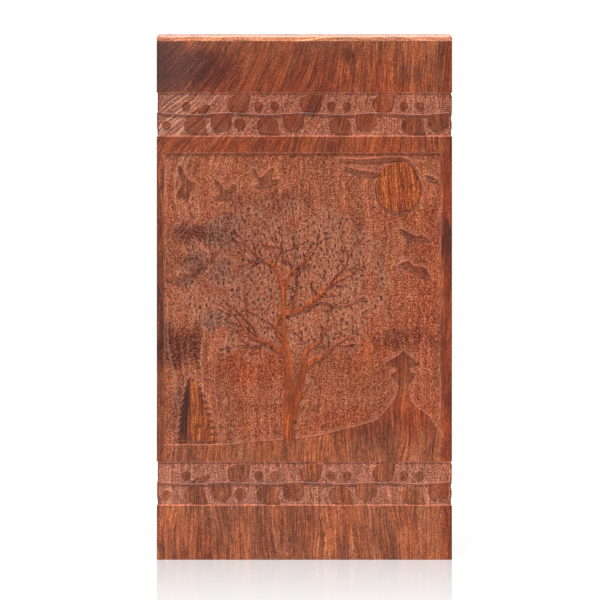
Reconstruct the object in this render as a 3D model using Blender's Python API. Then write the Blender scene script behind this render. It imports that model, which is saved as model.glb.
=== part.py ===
"""Cremation urn box of carved rosewood: four upright boards, a top board let into them, and a base
panel held by four screws. The front carries a sunk picture of a tree, and two carved bands of
leafy vine run round the box. Units are metres, +Z is up, the carved front faces -Y, and the origin
is the middle of the underside."""

import math

import bmesh
import bpy
from mathutils import Vector

MM = 0.001

# The whole box
BOX_WIDTH = 163 * MM
BOX_DEPTH = 130 * MM
BOX_HEIGHT = 290 * MM
CORNER_ROUND = 1.4 * MM
ROUND_STEPS = 3

# The boards
WALL = 12.5 * MM
GLUE_GAP = 0.3 * MM
TOP_LIP = 4.0 * MM
TOP_ROUND = 2.2 * MM
TOP_PLUG = 8.5 * MM
BASE_THICKNESS = 6.0 * MM
BASE_RIM = 5.0 * MM

# The screws under the base
SCREW_RADIUS = 1.5 * MM
SCREW_HEAD_RADIUS = 2.8 * MM
SCREW_LENGTH = 16.0 * MM
SCREW_SUNK = 0.4 * MM
SCREW_INSET = 26.0 * MM
SCREW_SIDES = 8
CROSS_SLOT_WIDTH = 0.8 * MM
CROSS_SLOT_DEPTH = 0.9 * MM

# The carved bands
BAND_HEIGHT = 24.6 * MM
LOWER_BAND_Z = 29.8 * MM
UPPER_BAND_Z = 233.5 * MM
BAND_CARVED = 1.0 * MM
STEM_WIDTH = 0.8 * MM
STEM_WAVE = 0.5 * MM
VINE_PITCH = 40.0 * MM
LEAF_WIDTH = 13.2 * MM
LEAF_HEIGHT = 9.7 * MM
SHIELD_LEAF_WIDTH = 11.2 * MM
SHIELD_LEAF_HEIGHT = 8.8 * MM
BUD_LENGTH = 6.4 * MM
BUD_WIDTH = 2.6 * MM
BERRY_RADIUS = 2.2 * MM
BERRY_SIDES = 6
LEAF_ROW = 5.9 * MM
BERRY_ROW = 4.8 * MM
EDGE_CLEARANCE = 1.5 * MM

# The sunk picture on the front
PICTURE_Z = 63.0 * MM
PICTURE_HEIGHT = 162.0 * MM
PICTURE_LEFT_MARGIN = 3.8 * MM
PICTURE_RIGHT_MARGIN = 5.9 * MM
PICTURE_CARVED = 1.4 * MM

# A line with more points than this is drawn through them as they are
FEW_POINTS = 5

# How far cutting shapes reach past what they cut
OVERSHOOT = 2.0 * MM
UNDERCUT = 0.5 * MM

# The figures are drawn on a sheet of this size in millimetres, which is then fitted to the picture
SHEET_WIDTH = 153.3
SHEET_HEIGHT = 162.0

ROSEWOOD = (0.26, 0.075, 0.035)
ROSEWOOD_TOP = (0.45, 0.19, 0.08)
PLYWOOD = (0.42, 0.24, 0.13)
BRASSED_STEEL = (0.62, 0.47, 0.22)


# Small helpers


def clear_scene():
    for obj in list(bpy.data.objects):
        bpy.data.objects.remove(obj)


def material(name, colour, roughness, metallic=0.0):
    made = bpy.data.materials.new(name)
    made.use_nodes = True
    shader = made.node_tree.nodes["Principled BSDF"]
    shader.inputs["Base Color"].default_value = (*colour, 1.0)
    shader.inputs["Roughness"].default_value = roughness
    shader.inputs["Metallic"].default_value = metallic
    return made


def object_from(name, mesh_builder, paint=None):
    """A new object whose mesh is what mesh_builder, a bmesh, holds, with its faces turned outwards."""
    bmesh.ops.recalc_face_normals(mesh_builder, faces=mesh_builder.faces)
    mesh = bpy.data.meshes.new(name)
    mesh_builder.to_mesh(mesh)
    mesh_builder.free()
    if paint:
        mesh.materials.append(paint)
    made = bpy.data.objects.new(name, mesh)
    bpy.context.scene.collection.objects.link(made)
    return made


def helper(made, group=None):
    """Marks an object as a cutting shape, and moves it into a collection if one is named."""
    made.hide_render = True
    made.display_type = "WIRE"
    if group:
        bpy.context.scene.collection.objects.unlink(made)
        group.objects.link(made)
    return made


def box_mesh(low, high):
    """A bmesh block between two corners."""
    made = bmesh.new()
    bmesh.ops.create_cube(made, size=1.0)
    low, high = Vector(low), Vector(high)
    for vertex in made.verts:
        share = vertex.co + Vector((0.5, 0.5, 0.5))
        vertex.co = Vector(low[i] + share[i] * (high[i] - low[i]) for i in range(3))
    return made


def round_edges(mesh_builder, radius, chosen):
    edges = [edge for edge in mesh_builder.edges if chosen(*(v.co for v in edge.verts))]
    bmesh.ops.bevel(
        mesh_builder, geom=edges, offset=radius, segments=ROUND_STEPS, profile=0.5, affect="EDGES"
    )


def cut(target, name, tool):
    modifier = target.modifiers.new(name, "BOOLEAN")
    modifier.operation = "DIFFERENCE"
    modifier.solver = "EXACT"
    modifier.object = tool


def keep(target, name, group):
    """Takes every shape in a collection out of a cutter, so that the wood there stays."""
    modifier = target.modifiers.new(name, "BOOLEAN")
    modifier.operation = "DIFFERENCE"
    modifier.solver = "EXACT"
    modifier.operand_type = "COLLECTION"
    modifier.collection = group


def new_group(name):
    group = bpy.data.collections.new(name)
    bpy.context.scene.collection.children.link(group)
    return group


# Flat outlines. Each is a list of (along, up) points, anticlockwise or clockwise


def smooth_line(points, steps):
    """A curve through the points, with this many steps between each two."""
    points = [Vector(point) for point in points]
    ends = [2 * points[0] - points[1], *points, 2 * points[-1] - points[-2]]
    line = []
    for before, start, end, after in zip(ends, ends[1:], ends[2:], ends[3:]):
        for step in range(steps):
            t = step / steps
            line.append(
                0.5
                * (
                    2 * start
                    + (end - before) * t
                    + (2 * before - 5 * start + 4 * end - after) * t**2
                    + (3 * start - 3 * end + after - before) * t**3
                )
            )
    return [*line, points[-1]]


def across(line, index):
    """The unit vector to the left of the line at one of its points."""
    ahead = line[min(index + 1, len(line) - 1)] - line[max(index - 1, 0)]
    return Vector((-ahead.y, ahead.x)).normalized()


def width_at(widths, share):
    """The width at a share of a strip's length, between widths given at even spaces."""
    place = share * (len(widths) - 1)
    first = min(int(place), len(widths) - 2)
    return widths[first] + (place - first) * (widths[first + 1] - widths[first])


def strip(points, widths):
    """A limb: a smooth line with a width that changes along it."""
    line = smooth_line(points, 1 if len(points) > FEW_POINTS else 2)
    halves = [width_at(widths, i / (len(line) - 1)) / 2 for i in range(len(line))]
    left = [p + across(line, i) * halves[i] for i, p in enumerate(line)]
    right = [p - across(line, i) * halves[i] for i, p in enumerate(line)]
    return left + right[::-1]


def disc(centre, radius, sides):
    turns = (2 * math.pi * i / sides for i in range(sides))
    return [(centre[0] + radius * math.cos(a), centre[1] + radius * math.sin(a)) for a in turns]


def lobe(centre, width, height, corners, steps=2):
    """A fat carved leaf: an oval with one or two of its four quarters drawn out to a corner."""
    outline = []
    quarters = ((1, 1), (-1, 1), (-1, -1), (1, -1))
    for number, quarter in enumerate(quarters):
        start = number * math.pi / 2
        outline.append((math.cos(start), math.sin(start)))
        if quarter in corners:
            outline.append(quarter)
            continue
        turns = (start + math.pi / 2 * i / steps for i in range(1, steps))
        outline.extend((math.cos(a), math.sin(a)) for a in turns)
    return [(centre[0] + u * width / 2, centre[1] + v * height / 2) for u, v in outline]


def pointed_leaf(foot, degrees, length, width):
    """A slim leaf with a point at both ends."""
    ahead = Vector((math.cos(math.radians(degrees)), math.sin(math.radians(degrees))))
    side = Vector((-ahead.y, ahead.x))
    foot = Vector(foot)
    middle = foot + 0.5 * length * ahead
    return [foot, middle + side * width / 2, foot + length * ahead, middle - side * width / 2]


# The four outer faces of the box. Along runs left to right as one looks at the face


def outer_faces():
    half_width, half_depth = BOX_WIDTH / 2, BOX_DEPTH / 2
    return {
        "front": (Vector((-half_width, -half_depth, 0)), Vector((1, 0, 0)), BOX_WIDTH),
        "right": (Vector((half_width, -half_depth, 0)), Vector((0, 1, 0)), BOX_DEPTH),
        "back": (Vector((half_width, half_depth, 0)), Vector((-1, 0, 0)), BOX_WIDTH),
        "left": (Vector((-half_width, half_depth, 0)), Vector((0, -1, 0)), BOX_DEPTH),
    }


def standing_shape(name, outline, face, carved, group):
    """A prism on one outer face, from below the carved ground to well outside the box."""
    origin, along, _ = face
    outwards = along.cross(Vector((0, 0, 1)))
    made = bmesh.new()
    inner = origin - outwards * (carved + UNDERCUT)
    outer = origin + outwards * (OVERSHOOT + UNDERCUT)
    rings = [
        [made.verts.new(start + along * u + Vector((0, 0, v))) for u, v in outline]
        for start in (inner, outer)
    ]
    for ring in rings:
        made.faces.new(ring)
    for number in range(len(outline)):
        following = (number + 1) % len(outline)
        made.faces.new(
            (rings[0][number], rings[0][following], rings[1][following], rings[1][number])
        )
    return helper(object_from(name, made), group)


# The carved bands


def stem_line(length, middle):
    """The vine's stem, one gentle wave to each repeat, from corner to corner of a face."""
    count = 2 * max(1, round(length / VINE_PITCH))
    stations = [length * i / count for i in range(count + 1)]
    return [(u, middle + STEM_WAVE * (-1) ** i) for i, u in enumerate(stations)]


def vine_repeat(start, middle, first):
    """The leaves and berries of one repeat. Each place along is a share of the pitch."""
    upper_leaf = start + 0.105 * VINE_PITCH
    lower_leaf = start + 0.51 * VINE_PITCH
    shield_leaf = start + 0.85 * VINE_PITCH
    outer_berry = start + 0.37 * VINE_PITCH
    inner_berry = start + 0.59 * VINE_PITCH
    shapes = {
        "upper_leaf": lobe((upper_leaf, middle + LEAF_ROW), LEAF_WIDTH, LEAF_HEIGHT, [(1, 1)]),
        "lower_leaf": lobe((lower_leaf, middle - LEAF_ROW), LEAF_WIDTH, LEAF_HEIGHT, [(1, -1)]),
        "shield_leaf": lobe(
            (shield_leaf, middle - SHIELD_LEAF_HEIGHT / 2),
            SHIELD_LEAF_WIDTH,
            SHIELD_LEAF_HEIGHT,
            [(1, 1), (-1, 1)],
        ),
        "berry": disc((outer_berry, middle + BERRY_ROW), BERRY_RADIUS, BERRY_SIDES),
    }
    if first:
        foot = (inner_berry - BUD_LENGTH / 2, middle + STEM_WIDTH)
        shapes["bud"] = pointed_leaf(foot, 42, BUD_LENGTH, BUD_WIDTH)
        loose_berry = (start + 0.1 * VINE_PITCH, middle - LEAF_ROW)
        shapes["low_berry"] = disc(loose_berry, BERRY_RADIUS, BERRY_SIDES)
    else:
        shapes["second_berry"] = disc(
            (inner_berry, middle + BERRY_ROW), BERRY_RADIUS, BERRY_SIDES
        )
    return shapes


def clears_corners(outline, length):
    reach = [u for u, _ in outline]
    return min(reach) > EDGE_CLEARANCE and max(reach) < length - EDGE_CLEARANCE


def band_cutter(name, bottom):
    """A ring round the box, as deep as the carving, with the vine left standing in it."""
    middle = bottom + BAND_HEIGHT / 2
    half = Vector((BOX_WIDTH / 2, BOX_DEPTH / 2, 0))
    reach = Vector((OVERSHOOT, OVERSHOOT, 0))
    sunk = Vector((BAND_CARVED, BAND_CARVED, 0))
    foot, head = Vector((0, 0, bottom)), Vector((0, 0, bottom + BAND_HEIGHT))
    past = Vector((0, 0, OVERSHOOT))
    ring = helper(object_from(name, box_mesh(foot - half - reach, head + half + reach)))
    stays = new_group(name + "_stays")
    core = box_mesh(foot - half + sunk - past, head + half - sunk + past)
    helper(object_from(name + "_core", core), stays)
    for side, face in outer_faces().items():
        length = face[2]
        stem = strip(stem_line(length, middle), (STEM_WIDTH, STEM_WIDTH))
        standing_shape(f"{name}_{side}_stem", stem, face, BAND_CARVED, stays)
        repeats = max(1, round(length / VINE_PITCH))
        margin = (length - repeats * VINE_PITCH) / 2
        for repeat in range(repeats):
            shapes = vine_repeat(margin + repeat * VINE_PITCH, middle, repeat == 0)
            for kind, outline in shapes.items():
                if clears_corners(outline, length):
                    shape_name = f"{name}_{side}_{kind}_{repeat}"
                    standing_shape(shape_name, outline, face, BAND_CARVED, stays)
    keep(ring, "vine", stays)
    return ring


# The picture. All its points are in millimetres on the sheet, from its lower left corner

# Each limb is a line from its foot to its tip, its widths along the way, and its number of leaves
LIMBS = {
    "root_flare": (((69.8, -2), (69.4, 3), (68.9, 9)), (15, 8, 6), 0),
    "trunk": (((69.0, 0), (68.7, 18), (68.8, 36), (68.2, 50), (66.6, 61), (66, 74)), (6.6, 2.2), 0),
    "eye": (((67.6, 56), (63.6, 61), (62.4, 67), (65.6, 74)), (1.7, 1.6), 0),
    "right_stem": (
        ((70.6, 14), (74, 30), (77, 41), (81, 46), (88, 49.7), (94, 55), (101, 60)),
        (5.4, 2.8, 0.9),
        6,
    ),
    "right_fork": (((76, 36), (77, 47), (79, 52.4), (86.3, 57.9), (90.2, 66)), (3, 2, 0.8), 4),
    "right_spur": (((73, 23), (77.6, 29.4), (81.3, 35)), (2, 0.6), 2),
    "left_low": (
        ((68, 49), (62.6, 53.5), (57.6, 56.8), (50.6, 59.3), (46, 62.6), (41, 70)),
        (2.6, 1.8, 0.6),
        5,
    ),
    "left_low_fork": (((51, 59), (49.9, 64.5), (46, 68.8), (38.8, 76)), (1.5, 0.6), 4),
    "left_low_twig": (((55.8, 58), (52, 54.9), (42, 55.7)), (1.3, 0.5), 3),
    "left_middle": (((65.4, 60.6), (59.8, 66.8), (53.6, 70.6)), (1.4, 0.5), 3),
    "leader": (((66, 72), (66.2, 80), (66.4, 86)), (3.2, 2.4), 0),
    "left_high": (
        ((66.4, 84), (64.4, 91), (61.5, 98.2), (57, 101.7), (50.6, 105.6), (43.6, 114)),
        (2.3, 1.4, 0.6),
        6,
    ),
    "left_high_twig": (((58, 101.2), (52.1, 102.2), (46.4, 101)), (1.2, 0.5), 3),
    "crown_twig": (((61.6, 97.4), (62.6, 103.2), (64.8, 107.4), (65.4, 113)), (1.3, 0.6), 4),
    "right_high": (((66.4, 84), (68.2, 91), (71, 96.8), (76.4, 100.4), (81, 105)), (2, 0.6), 4),
    "right_high_twig": (((71, 96), (70.3, 99.9), (66.9, 103)), (1.1, 0.5), 2),
    "middle": (((70.2, 74.4), (72.8, 82), (73.4, 90), (71.4, 97.6)), (1.7, 0.9), 3),
    "right_big": (
        ((65.9, 73), (73, 74.4), (78.4, 77.2), (84.4, 81.8), (90, 87), (96, 91.2), (104, 94.8)),
        (3, 2, 0.7),
        6,
    ),
    "right_big_fork": (((92, 88.4), (95.1, 93.8), (99.6, 98), (103.6, 107)), (1.5, 0.6), 4),
    "right_big_tail": (
        ((74.6, 74.6), (80, 75.4), (85.4, 79), (90, 78.8), (95, 76.6), (103, 78)),
        (1.5, 0.6),
        4,
    ),
}
LIMB_LEAF_LENGTH = 3.6
LIMB_LEAF_WIDTH = 1.7
LIMB_LEAF_LEAN = 48
LIMB_LEAF_SET = 0.7

# The crown is an oval of loose leaves among the limbs
CROWN_MIDDLE = (66, 93)
CROWN_HALF_WIDTH = 55
CROWN_HALF_HEIGHT = 40
CROWN_LEAVES = 76
CROWN_LEAF_TWIST = 0.37
GOLDEN_ANGLE = math.pi * (3 - math.sqrt(5))

HILL = (
    (-3, 0.2), (22, 0.2), (38, 0.6), (49, 2.2), (62, 3.0), (75, 4.1), (88, 6.3), (100, 9.1),
    (110, 11.8), (117, 14), (121, 17.5), (125, 22.4), (129, 28), (130.4, 33), (134.2, 33),
    (135.6, 27), (138, 22.6), (142, 19.6), (146, 16.6), (148.6, 12.4), (151.4, 8.4), (157, 7),
)  # fmt: skip

# The tower on the hill, as pairs of half width and height, from its foot to its finial
TOWER_MIDDLE = 132.3
TOWER = (
    (2.2, 31), (2.8, 36), (6.6, 40.0), (3.7, 41), (3.7, 44.8), (8.7, 46.4), (2.6, 50),
    (1.1, 51.4), (0.3, 53),
)  # fmt: skip

CONIFER_APEX = (14.8, 38.2)
CONIFER_FOOT = 2.9
CONIFER_TIERS = 7
CONIFER_LEFT_REACH = 7.6
CONIFER_RIGHT_REACH = 15.4

SUN_MIDDLE = (129.6, 141.6)
SUN_RADIUS = 12.8
SUN_SIDES = 20
SUN_CAP = ((118.6, 150), (123, 154.6), (128.6, 156.3), (134, 156.4), (137.2, 153), (139, 146))
CLOUDS = {
    "high_cloud": (
        ((97.3, 158.4), (108.4, 157.6), (119.4, 158.2), (128, 158.4), (134.6, 157), (137.6, 151)),
        (0.5, 1.2, 1.6, 2.2, 3.2),
    ),
    "low_cloud": (
        ((100, 154.4), (105, 152), (112, 150.6), (121, 150.8), (131, 151.6)),
        (0.5, 1.5, 1.9, 1.0),
    ),
}

# Each bird is one silhouette, drawn round from its foremost tip
BIRDS = {
    "diving_bird": (
        (9, 154.8), (13, 148.6), (14, 146.4), (17.2, 145.2), (14.6, 141), (14, 137.2), (11.6, 135.8),
        (10.2, 138.6), (7, 138.2), (10.4, 145), (8.2, 152),
    ),
    "gliding_bird": (
        (28, 146.6), (30, 146.4), (34.6, 141.4), (38.4, 144.6), (40, 142.4), (35, 139.4),
        (37.8, 138.4), (35.4, 136.8), (27.6, 137.8), (31, 138.8), (30.6, 142),
    ),
    "rising_bird": (
        (50.4, 153), (53.4, 148), (57.6, 152), (60.6, 153.4), (59.4, 147.4), (64.4, 147),
        (59, 144.4), (50.6, 143.8), (53, 145.4), (51.6, 148.6), (49, 152),
    ),
    "low_bird": (
        (130, 120), (137, 117), (140.6, 115.6), (142.4, 116.6), (146.2, 113.6), (140, 114.4),
        (134.4, 113.4), (134, 116),
    ),
    "far_bird": (
        (129.6, 100), (135, 102.2), (138, 99.4), (143.8, 98.4), (146.8, 94.2), (146, 93.2),
        (138, 96), (136, 98.4),
    ),
}  # fmt: skip


def conifer_outline():
    """A stepped fir: each tier sweeps out to a tip, and the next starts nearer the stem."""
    apex_x, apex_z = CONIFER_APEX
    drop = (apex_z - CONIFER_FOOT) / CONIFER_TIERS
    sides = []
    for reach in (CONIFER_RIGHT_REACH, -CONIFER_LEFT_REACH):
        edge = []
        for tier in range(1, CONIFER_TIERS + 1):
            spread = reach * (0.3 + 0.7 * tier / CONIFER_TIERS)
            level = apex_z - tier * drop
            edge.append((apex_x + spread, level + 0.25 * drop))
            edge.append((apex_x + 0.58 * spread, level))
        sides.append(edge)
    return [(apex_x, apex_z), *sides[0], *reversed(sides[1])]


def tower_outline():
    right = [(TOWER_MIDDLE + half, level) for half, level in TOWER]
    left = [(TOWER_MIDDLE - half, level) for half, level in reversed(TOWER)]
    return right + left


def limb_leaves(points, count):
    """Leaves along the outer two thirds of a limb, left and right in turn, and one at its tip."""
    line = smooth_line(points, 4)
    outlines = []
    for number in range(count):
        place = round((0.35 + 0.65 * number / max(1, count - 1)) * (len(line) - 1))
        out = across(line, place)
        ahead = Vector((out.y, -out.x))
        heading = math.degrees(math.atan2(ahead.y, ahead.x))
        at_tip = number == count - 1
        lean = 0 if at_tip else LIMB_LEAF_LEAN * (-1) ** number
        foot = line[place] - ahead * LIMB_LEAF_SET if at_tip else line[place]
        outlines.append(pointed_leaf(foot, heading + lean, LIMB_LEAF_LENGTH, LIMB_LEAF_WIDTH))
    return outlines


def near_limb(place):
    """Whether a place on the sheet is on a limb, or so near that a leaf there would touch it."""
    for points, widths, _ in LIMBS.values():
        line = smooth_line(points, 2)
        if min((point - place).length for point in line) < max(widths) / 2 + LIMB_LEAF_LENGTH:
            return True
    return False


def crown_leaves():
    """Loose leaves over the crown, on a spiral whose golden angle spreads them evenly."""
    outlines = []
    for number in range(1, CROWN_LEAVES):
        share = math.sqrt(number / CROWN_LEAVES)
        turn = number * GOLDEN_ANGLE
        place = Vector(
            (
                CROWN_MIDDLE[0] + share * CROWN_HALF_WIDTH * math.cos(turn),
                CROWN_MIDDLE[1] + share * CROWN_HALF_HEIGHT * math.sin(turn),
            )
        )
        if not near_limb(place):
            heading = 360 * (number * CROWN_LEAF_TWIST % 1)
            outlines.append(pointed_leaf(place, heading, LIMB_LEAF_LENGTH, LIMB_LEAF_WIDTH))
    return outlines


def picture_outlines():
    """Every figure that stands in the picture, by name, in millimetres on the sheet."""
    shapes = {"hill": [*HILL, (157, -3), (-3, -3)], "tower": tower_outline()}
    shapes["conifer"] = conifer_outline()
    shapes["sun"] = disc(SUN_MIDDLE, SUN_RADIUS, SUN_SIDES)
    shapes["sun_cap"] = SUN_CAP
    for name, (points, widths) in CLOUDS.items():
        shapes[name] = strip(points, widths)
    shapes.update(BIRDS)
    for name, (points, widths, leaf_count) in LIMBS.items():
        shapes[name] = strip(points, widths)
        for number, outline in enumerate(limb_leaves(points, leaf_count)):
            shapes[f"{name}_leaf_{number}"] = outline
    for number, outline in enumerate(crown_leaves()):
        shapes[f"crown_leaf_{number}"] = outline
    return shapes


def picture_cutter():
    """The sunk ground of the picture, with its figures left standing."""
    width = BOX_WIDTH - PICTURE_LEFT_MARGIN - PICTURE_RIGHT_MARGIN
    left = -BOX_WIDTH / 2 + PICTURE_LEFT_MARGIN
    front = -BOX_DEPTH / 2
    ground = box_mesh(
        (left, front - OVERSHOOT, PICTURE_Z),
        (left + width, front + PICTURE_CARVED, PICTURE_Z + PICTURE_HEIGHT),
    )
    cutter = helper(object_from("picture_ground", ground))
    stays = new_group("picture_stays")
    face = outer_faces()["front"]
    for name, outline in picture_outlines().items():
        fitted = [
            (
                PICTURE_LEFT_MARGIN + u / SHEET_WIDTH * width,
                PICTURE_Z + v / SHEET_HEIGHT * PICTURE_HEIGHT,
            )
            for u, v in outline
        ]
        standing_shape("picture_" + name, fitted, face, PICTURE_CARVED, stays)
    keep(cutter, "figures", stays)
    return cutter


# The boards


def upright_board(name, low, high, paint):
    """A board from the underside to the top board's lip, its outer corners rounded."""
    made = box_mesh(low, high)
    corner = Vector((BOX_WIDTH / 2, BOX_DEPTH / 2))

    def on_corner(a, b):
        places = (corner - Vector((abs(p.x), abs(p.y))) for p in (a, b))
        return all(place.length < GLUE_GAP for place in places)

    if any(on_corner(*(v.co for v in edge.verts)) for edge in made.edges):
        round_edges(made, CORNER_ROUND, on_corner)
    return object_from(name, made, paint)


def walls(paint):
    half_width, half_depth = BOX_WIDTH / 2, BOX_DEPTH / 2
    head = BOX_HEIGHT - TOP_LIP - GLUE_GAP
    inner_y = half_depth - WALL
    side_y = inner_y - GLUE_GAP
    front = upright_board(
        "front_board", (-half_width, -half_depth, 0), (half_width, -inner_y, head), paint
    )
    back = upright_board(
        "back_board", (-half_width, inner_y, 0), (half_width, half_depth, head), paint
    )
    left = upright_board(
        "left_board", (-half_width, -side_y, 0), (WALL - half_width, side_y, head), paint
    )
    right = upright_board(
        "right_board", (half_width - WALL, -side_y, 0), (half_width, side_y, head), paint
    )
    return front, back, left, right


def base_rebate():
    """The step round the walls' lower inner edges that the base panel lies in."""
    half_width, half_depth = BOX_WIDTH / 2 - BASE_RIM, BOX_DEPTH / 2 - BASE_RIM
    made = box_mesh(
        (-half_width, -half_depth, -OVERSHOOT),
        (half_width, half_depth, BASE_THICKNESS + GLUE_GAP),
    )
    return helper(object_from("base_rebate", made))


def base_panel(paint):
    half_width = BOX_WIDTH / 2 - BASE_RIM - GLUE_GAP
    half_depth = BOX_DEPTH / 2 - BASE_RIM - GLUE_GAP
    made = box_mesh((-half_width, -half_depth, 0), (half_width, half_depth, BASE_THICKNESS))
    return object_from("base_panel", made, paint)


def top_board(paint):
    """A lip over the walls, rounded above, and a rebated part that drops inside them."""
    half_width, half_depth = BOX_WIDTH / 2, BOX_DEPTH / 2
    under = BOX_HEIGHT - TOP_LIP
    made = box_mesh((-half_width, -half_depth, under), (half_width, half_depth, BOX_HEIGHT))
    upright = [
        edge for edge in made.edges if abs(edge.verts[0].co.z - edge.verts[1].co.z) > TOP_LIP / 2
    ]
    bmesh.ops.bevel(
        made, geom=upright, offset=TOP_ROUND, segments=ROUND_STEPS, profile=0.5, affect="EDGES"
    )
    round_edges(made, TOP_ROUND, lambda a, b: min(a.z, b.z) > BOX_HEIGHT - TOP_LIP / 4)
    lip = object_from("top_board", made, paint)
    plug_width, plug_depth = (half - WALL - GLUE_GAP for half in (half_width, half_depth))
    plug = box_mesh(
        (-plug_width, -plug_depth, under - TOP_PLUG), (plug_width, plug_depth, under + TOP_LIP / 4)
    )
    joined = lip.modifiers.new("plug", "BOOLEAN")
    joined.operation = "UNION"
    joined.solver = "EXACT"
    joined.object = helper(object_from("top_plug", plug))
    return lip


# The screws


def turned(name, profile, paint=None):
    """A closed turned solid from pairs of radius and height that start and end on the axis."""
    made = bmesh.new()
    points = [made.verts.new((radius, 0, level)) for radius, level in profile]
    edges = [made.edges.new(pair) for pair in zip(points, points[1:])]
    bmesh.ops.spin(
        made,
        geom=points + edges,
        cent=(0, 0, 0),
        axis=(0, 0, 1),
        angle=2 * math.pi,
        steps=SCREW_SIDES,
        use_merge=True,
    )
    bmesh.ops.remove_doubles(made, verts=made.verts, dist=0.01 * MM)
    return object_from(name, made, paint)


def screw_profile(clearance):
    """A countersunk wood screw, head down, from its head's face to its point."""
    head = SCREW_HEAD_RADIUS + clearance
    shank = SCREW_RADIUS + clearance
    face = SCREW_SUNK if clearance == 0 else -OVERSHOOT
    neck = SCREW_SUNK + SCREW_HEAD_RADIUS - SCREW_RADIUS + clearance
    tip = SCREW_SUNK + SCREW_LENGTH + clearance
    return [
        (0, face),
        (head, face),
        (head, SCREW_SUNK),
        (shank, neck),
        (shank, tip - 2 * shank),
        (0, tip),
    ]


def screw(name, place, paint):
    profile = screw_profile(0)
    profile.pop(2)
    made = turned(name, profile, paint)
    made.location = place
    reach = 0.62 * SCREW_HEAD_RADIUS
    for number, (x, y) in enumerate(((reach, CROSS_SLOT_WIDTH / 2), (CROSS_SLOT_WIDTH / 2, reach))):
        slot = box_mesh((-x, -y, -OVERSHOOT), (x, y, SCREW_SUNK + CROSS_SLOT_DEPTH))
        slot = helper(object_from(f"{name}_slot_{number}", slot))
        slot.parent = made
        cut(made, f"slot_{number}", slot)
    return made


def screw_places():
    """Four places in the ledge above the base panel, two along the front and two at the back."""
    across_box = BOX_WIDTH / 2 - SCREW_INSET
    from_middle = BOX_DEPTH / 2 - (BASE_RIM + WALL) / 2
    return [(x, y, 0) for x in (-across_box, across_box) for y in (-from_middle, from_middle)]


def main():
    clear_scene()
    bpy.context.scene.unit_settings.scale_length = 1.0
    rosewood = material("rosewood", ROSEWOOD, 0.3)
    rosewood_top = material("rosewood_top", ROSEWOOD_TOP, 0.3)
    plywood = material("base_wood", PLYWOOD, 0.6)
    steel = material("brassed_steel", BRASSED_STEEL, 0.35, 1.0)

    front, back, left, right = walls(rosewood)
    rebate = base_rebate()
    bands = {
        "lower_band": band_cutter("lower_band", LOWER_BAND_Z),
        "upper_band": band_cutter("upper_band", UPPER_BAND_Z),
    }
    for board in (front, back, left, right):
        cut(board, "base_rebate", rebate)
        for name, band in bands.items():
            cut(board, name, band)
    cut(front, "picture", picture_cutter())
    top_board(rosewood_top)
    panel = base_panel(plywood)

    for number, place in enumerate(screw_places(), 1):
        screw(f"base_screw_{number}", place, steel)
        hole = helper(turned(f"screw_hole_{number}", screw_profile(GLUE_GAP)))
        hole.location = place
        cut(panel, f"screw_hole_{number}", hole)
        cut(front if place[1] < 0 else back, f"screw_hole_{number}", hole)


main()
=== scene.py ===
# %% [markdown]
# # A carved rosewood urn box
#
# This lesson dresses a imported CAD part: an upright wooden box for ashes, with a tree carved on its
# front and two bands of leafy vine round it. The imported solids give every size, and this file gives the
# look: fine carving, wood that shows its grain, a floor, lights and a camera.
#
# The first cell loads the solids. Its print shows their names and their outer size, so that later cells
# can be checked against it.

import math
import random
from functools import partial

import bmesh
import bpy
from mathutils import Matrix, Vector, kdtree, noise


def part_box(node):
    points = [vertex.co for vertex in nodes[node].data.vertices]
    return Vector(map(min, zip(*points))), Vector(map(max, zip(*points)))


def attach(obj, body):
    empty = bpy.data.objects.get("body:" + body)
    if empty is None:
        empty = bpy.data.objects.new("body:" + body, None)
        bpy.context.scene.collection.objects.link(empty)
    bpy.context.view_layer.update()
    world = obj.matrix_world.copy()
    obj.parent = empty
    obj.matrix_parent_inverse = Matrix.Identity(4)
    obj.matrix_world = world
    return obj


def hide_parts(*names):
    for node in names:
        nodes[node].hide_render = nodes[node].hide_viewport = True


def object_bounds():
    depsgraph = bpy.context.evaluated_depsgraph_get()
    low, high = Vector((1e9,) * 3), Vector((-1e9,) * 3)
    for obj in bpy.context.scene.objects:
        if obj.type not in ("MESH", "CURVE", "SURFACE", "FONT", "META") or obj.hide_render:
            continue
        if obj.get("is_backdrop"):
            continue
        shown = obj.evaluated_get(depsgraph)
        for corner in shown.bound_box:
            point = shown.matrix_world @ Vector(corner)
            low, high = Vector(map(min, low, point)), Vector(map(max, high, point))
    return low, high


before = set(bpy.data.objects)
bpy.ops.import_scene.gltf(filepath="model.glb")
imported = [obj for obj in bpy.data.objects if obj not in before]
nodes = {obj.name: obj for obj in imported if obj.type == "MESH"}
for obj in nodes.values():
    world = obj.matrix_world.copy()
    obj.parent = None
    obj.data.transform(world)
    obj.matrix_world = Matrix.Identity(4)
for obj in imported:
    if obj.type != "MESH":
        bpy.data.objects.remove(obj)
cad_low, cad_high = (list(corner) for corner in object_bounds())
print("solids:", ", ".join(sorted(nodes)))
print("outer size in mm:", [round(1000 * (b - a), 1) for a, b in zip(cad_low, cad_high)])

# %% [markdown]
# ## Sizes
#
# The box is 163 mm wide, 130 mm deep and 290 mm high, with boards of 12.5 mm. A router cut the bands
# 1 mm deep and the picture 1.4 mm deep. All sizes below are in millimetres, because that is how a
# woodworker thinks of them. One number turns them to Blender's metres at the very end.

# %% Name the sizes of the box
MM = 0.001
WIDTH, DEPTH, HEIGHT = 163.0, 130.0, 290.0
WALL = 12.5
GAP = 0.3
CORNER = 1.4
LIP = 4.0
LIP_ROUND = 2.2
PLUG = 8.5
RIM = 5.0
REBATE = 6.3
HEAD = HEIGHT - LIP - 0.02

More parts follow.
